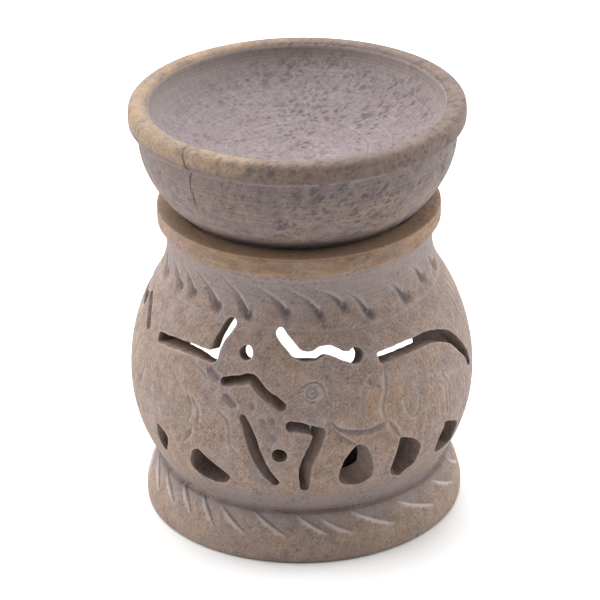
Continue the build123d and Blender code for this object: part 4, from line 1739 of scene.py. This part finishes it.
    def chips(self) -> list[Groove]:
        """Cut the row of slanting chips on the slope of the foot."""
        shown = [((-54.9, 12.0), (-46.8, 7.4)), ((-42.9, 11.6), (-34.9, 6.4)), ((-32.7, 11.1), (-22.7, 6.8))]
        shown += [((-18.8, 11.4), (-6.7, 6.9)), ((-2.1, 11.3), (8.4, 7.2)), ((6.5, 10.6), (17.3, 6.9))]
        shown += [((18.6, 11.2), (34.0, 6.7)), ((38.7, 10.6), (54.8, 6.3)), ((58.8, 11.0), (72.4, 6.6))]
        for number in range(16):
            angle = 77.0 + 14.4 * number + 0.8 * math.sin(1.9 * number)
            shown.append(((angle, 11.3), (angle + 10.5, 6.9)))
        return [Groove(spots, 0.6, 3.0, 0.7, GrooveForm.CHIP) for spots in shown]

    def elephants(self) -> list[Groove]:
        """Engrave eyes, saddle cloth, thighs, creases and dimples."""
        lines = [((-0.6, 46.7), (0.2, 46.1), (2.2, 47.0), (5.2, 47.0), (7.2, 45.6), (7.4, 43.6))]
        lines += [((1.3, 43.3), (2.7, 42.6), (4.5, 43.1))]
        turns = [k * math.pi / 4 for k in range(9)]
        ring = [(3.2 + 1.7 * math.sin(turn), 44.7 + 1.1 * math.cos(turn)) for turn in turns]
        head = [Groove(line, 0.4, 0.4, 0.44) for line in (*lines, tuple(ring))]
        head.append(Groove(((3.1, 44.8), (3.5, 44.7)), 0.4, 0.5, 0.5, GrooveForm.DOT))
        belly_line = ((8.4, 38.5), (12.0, 35.8), (19.5, 34.5), (24.3, 34.8), (28.7, 35.8))
        head.append(Groove(belly_line, 0.5, 0.45, 1.1))
        head.append(Groove(((8.1, 38.2), (11.1, 34.8), (16.6, 31.6)), 0.75, 0.6, 1.5, GrooveForm.CHIP))
        head.append(Groove(((29.0, 35.6), (32.0, 32.6), (32.9, 31.2)), 0.7, 0.6, 1.4, GrooveForm.CHIP))
        head.append(Groove(((21.4, 44.6), (20.1, 40.8), (20.2, 37.2)), 0.25, 0.5, 1.3))
        head.append(Groove(((29.6, 48.0), (29.0, 43.5), (27.1, 39.1), (28.0, 36.1)), 0.32, 0.45, 0.6))
        head.append(Groove(((23.2, 45.7), (23.6, 45.3)), 0.45, 1.1, 1.1, GrooveForm.DOT))
        copied = [replace(each, line=tuple((a - self.step, z) for a, z in each.line)) for each in head]
        body = [((49.0, 40.8), (54.0, 40.6), (57.0, 37.4), (58.0, 28.9))]
        body += [((49.7, 39.4), (53.3, 39.3), (55.1, 36.8), (56.0, 30.0))]
        body += [((-41.3, 40.7), (-39.2, 37.5), (-40.8, 33.8)), ((-39.0, 40.3), (-36.3, 37.3), (-36.7, 34.3))]
        body += [((-29.3, 39.3), (-25.5, 37.1), (-24.5, 34.8), (-24.4, 30.9), (-21.8, 28.6))]
        body += [((-61.2, 37.5), (-59.8, 35.0), (-56.2, 32.7)), ((-40.4, 47.7), (-35.9, 46.7), (-34.1, 45.5))]
        body += [((70.3, 35.7), (71.7, 31.3), (72.0, 27.8))]
        body += [((35.2, 39.4), (36.4, 36.7), (38.4, 34.7), (41.1, 35.6), (42.0, 38.5))]
        body += [((turn, 57.2), (turn + 3.0, 53.0), (turn + 4.0, 47.5)) for turn in (74.0, 78.5, 83.0)]
        made = [Groove(line, 0.34, 0.36, 0.44) for line in body]
        strap = ((-52.8, 46.3), (-45.0, 41.8), (-40.0, 39.3), (-32.3, 34.7), (-29.2, 33.6))
        made.append(Groove(strap, 0.16, 0.3, 0.35))
        made.append(Groove(((-39.2, 33.1), (-40.4, 30.4), (-43.6, 27.9)), 0.5, 0.5, 1.0, GrooveForm.CHIP))
        made.append(Groove(((-34.4, 48.0), (-31.4, 46.8), (-29.2, 45.4)), 0.6, 1.3, 1.2))
        made.append(Groove(((-27.4, 43.2), (-24.6, 41.9), (-22.1, 40.3)), 0.6, 1.0, 1.2))
        made.append(Groove(((-63.3, 46.7), (-65.9, 41.5), (-69.2, 36.3)), 0.5, 0.6, 0.9, GrooveForm.LEAF))
        for angle, height in ((-16.7, 41.2), (-13.0, 37.9), (-9.8, 38.3), (-9.6, 34.2)):
            dimple = ((angle - 0.2, height + 0.3), (angle + 0.2, height - 0.3))
            made.append(Groove(dimple, 0.45, 0.95, 0.95, GrooveForm.DOT))
        ring_line = []
        for angle in range(-180, 181, 12):
            ring_line.append((angle, 57.5 + 0.7 * math.sin(math.radians(2.6 * angle + 200))))
        made.append(Groove(tuple(ring_line), 0.15, 0.45, 0.6))
        return head + copied + made

    def grooves(self) -> tuple[Groove, ...]:
        """List everything that is engraved."""
        return tuple(self.leaves() + self.chips() + self.elephants())


@dataclass
class Studio:
    """Camera, soft lights and a pale floor."""

    distance: float = 800.0
    elevation: float = 26.18
    aim: tuple[float, float, float] = (-0.16, 0.0, 49.1)
    roll: float = -1.06
    focal: float = 206.5

    def camera(self) -> None:
        """Set the camera at the photograph's viewing angle."""
        tilt = math.radians(self.elevation)
        ahead = Vector((0, math.cos(tilt), -math.sin(tilt)))
        right = Vector((1, 0, 0))
        up = right.cross(ahead)
        turn = math.radians(self.roll)
        side = math.cos(turn) * right + math.sin(turn) * up
        top = -math.sin(turn) * right + math.cos(turn) * up
        data = bpy.data.cameras.new("camera")
        data.lens = self.focal
        data.sensor_width = 36.0
        data.clip_end = 20.0
        camera = bpy.data.objects.new("camera", data)
        place = (Vector(self.aim) - ahead * self.distance) * MM
        frame_axes = Matrix((side, top, -ahead)).transposed().to_4x4()
        camera.matrix_world = Matrix.Translation(place) @ frame_axes
        bpy.context.scene.collection.objects.link(camera)
        bpy.context.scene.camera = camera

    def light(self, name: str, place: tuple, size: tuple, power: float) -> None:
        """Hang one soft light that faces the object.

        Args:
            name: Its name.
            place: Where it hangs, in metres.
            size: Its width and height in metres.
            power: Its power in watts.
        """
        data = bpy.data.lights.new(name, "AREA")
        data.shape = "RECTANGLE"
        data.size, data.size_y = size
        data.energy = power
        lamp = bpy.data.objects.new(name, data)
        way = Vector((0, 0, 0.05)) - Vector(place)
        lamp.matrix_world = Matrix.Translation(place) @ way.to_track_quat("-Z", "Y").to_matrix().to_4x4()
        bpy.context.scene.collection.objects.link(lamp)

    def build(self) -> None:
        """Set up camera, lights, surroundings and floor."""
        self.camera()
        self.light("left_softbox", (-0.8, 0.05, 0.4), (0.8, 0.8), 4.2)
        self.light("right_softbox", (0.85, 0.15, 0.4), (0.7, 0.7), 4.0)
        self.light("top_softbox", (-0.1, 0.25, 0.95), (0.9, 0.9), 10.0)
        self.light("back_softbox", (0.0, 0.75, 0.45), (0.8, 0.4), 2.0)
        world = bpy.data.worlds.new("pale_room")
        world.use_nodes = True
        desk = Desk(world.node_tree)
        way = desk.add("ShaderNodeTexCoord").outputs["Generated"]
        depth = desk.add("ShaderNodeSeparateXYZ", {0: way}).outputs[1]
        strength = desk.span(depth, -0.85, 0.45, 0.22, 1.1)
        glow = desk.add("ShaderNodeBackground", {"Color": (1.0, 1.0, 1.0, 1.0), "Strength": strength})
        desk.add("ShaderNodeOutputWorld", {"Surface": glow.outputs[0]})
        bpy.context.scene.world = world
        bpy.context.scene.view_settings.view_transform = "Standard"
        shader = Shader("pale_floor")
        shade = shader.span(shader.noise(300, 2), 0.3, 0.7, 0.94, 0.96)
        colour = shader.add("ShaderNodeCombineColor", {0: shade, 1: shade, 2: shade}).outputs[0]
        paper = shader.finish(colour, 0.9)
        mesh = bpy.data.meshes.new("floor")
        mesh.from_pydata([(-6, -6, 0), (6, -6, 0), (6, 6, 0), (-6, 6, 0)], [], [(0, 1, 2, 3)])
        mesh.materials.append(paper)
        add_object("floor", mesh)


def dress(piece: bpy.types.Object, node: str, body: str) -> None:
    """Put a finished piece in the place of its CAD node.

    Args:
        piece: The finished object.
        node: The CAD node that it stands for.
        body: The body that it moves with.
    """
    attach(piece, body)
    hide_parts(node)
    LOG.info("%s: %d faces, rides on %s", piece.name, len(piece.data.polygons), body)


def main() -> None:
    """Build the burner's pieces in order, then the studio round them."""
    logging.basicConfig(level=logging.INFO, format="%(name)s: %(message)s")
    frieze = Frieze()
    pot_stone = PotStone("pot_soapstone").make()
    pot = Pot(openings=frieze.openings(), grooves=frieze.grooves()).build(pot_stone)
    dress(pot, "pot", "pot")
    lathe = LatheTree()
    crack = ((-43.5, 33.6, 99.4), (-43.5, 34.4, 99.9), (-43.4, 35.1, 100.0), (-42.7, 36.3, 99.95))
    crack += ((-42.0, 37.2, 99.8), (-41.3, 38.2, 98.9), (-40.9, 38.4, 97.8), (-40.5, 38.4, 96.8))
    crack += ((-39.0, 38.4, 96.1), (-38.6, 38.2, 95.4), (-40.3, 36.5, 94.6), (-40.7, 36.4, 93.0))
    crack += ((-40.7, 36.36, 91.7), (-40.6, 36.22, 90.2), (-40.4, 35.9, 88.4), (-40.1, 35.4, 86.7))
    crack += ((-39.8, 34.9, 85.3), (-39.6, 34.1, 83.5))
    dish_stone = DishStone("dish_soapstone", (115, 100, 95), (119, 101, 91), (109, 97, 96)).make()
    dress(Dish(crack=crack).build(lathe, dish_stone), "dish", "dish")
    finishes = {
        "tea_light_cup": PressedAluminium("pressed_aluminium").make(),
        "tea_light_wax": CandleWax("candle_wax").make(),
        "wick": WaxedCotton("waxed_cotton").make(),
        "wick_sustainer": TinnedSteel("tinned_steel").make(),
    }
    for node, piece in TeaLight().build(lathe, finishes).items():
        dress(piece, node, "tea_light")
    Studio().build()


if __name__ == "__main__":
    main()
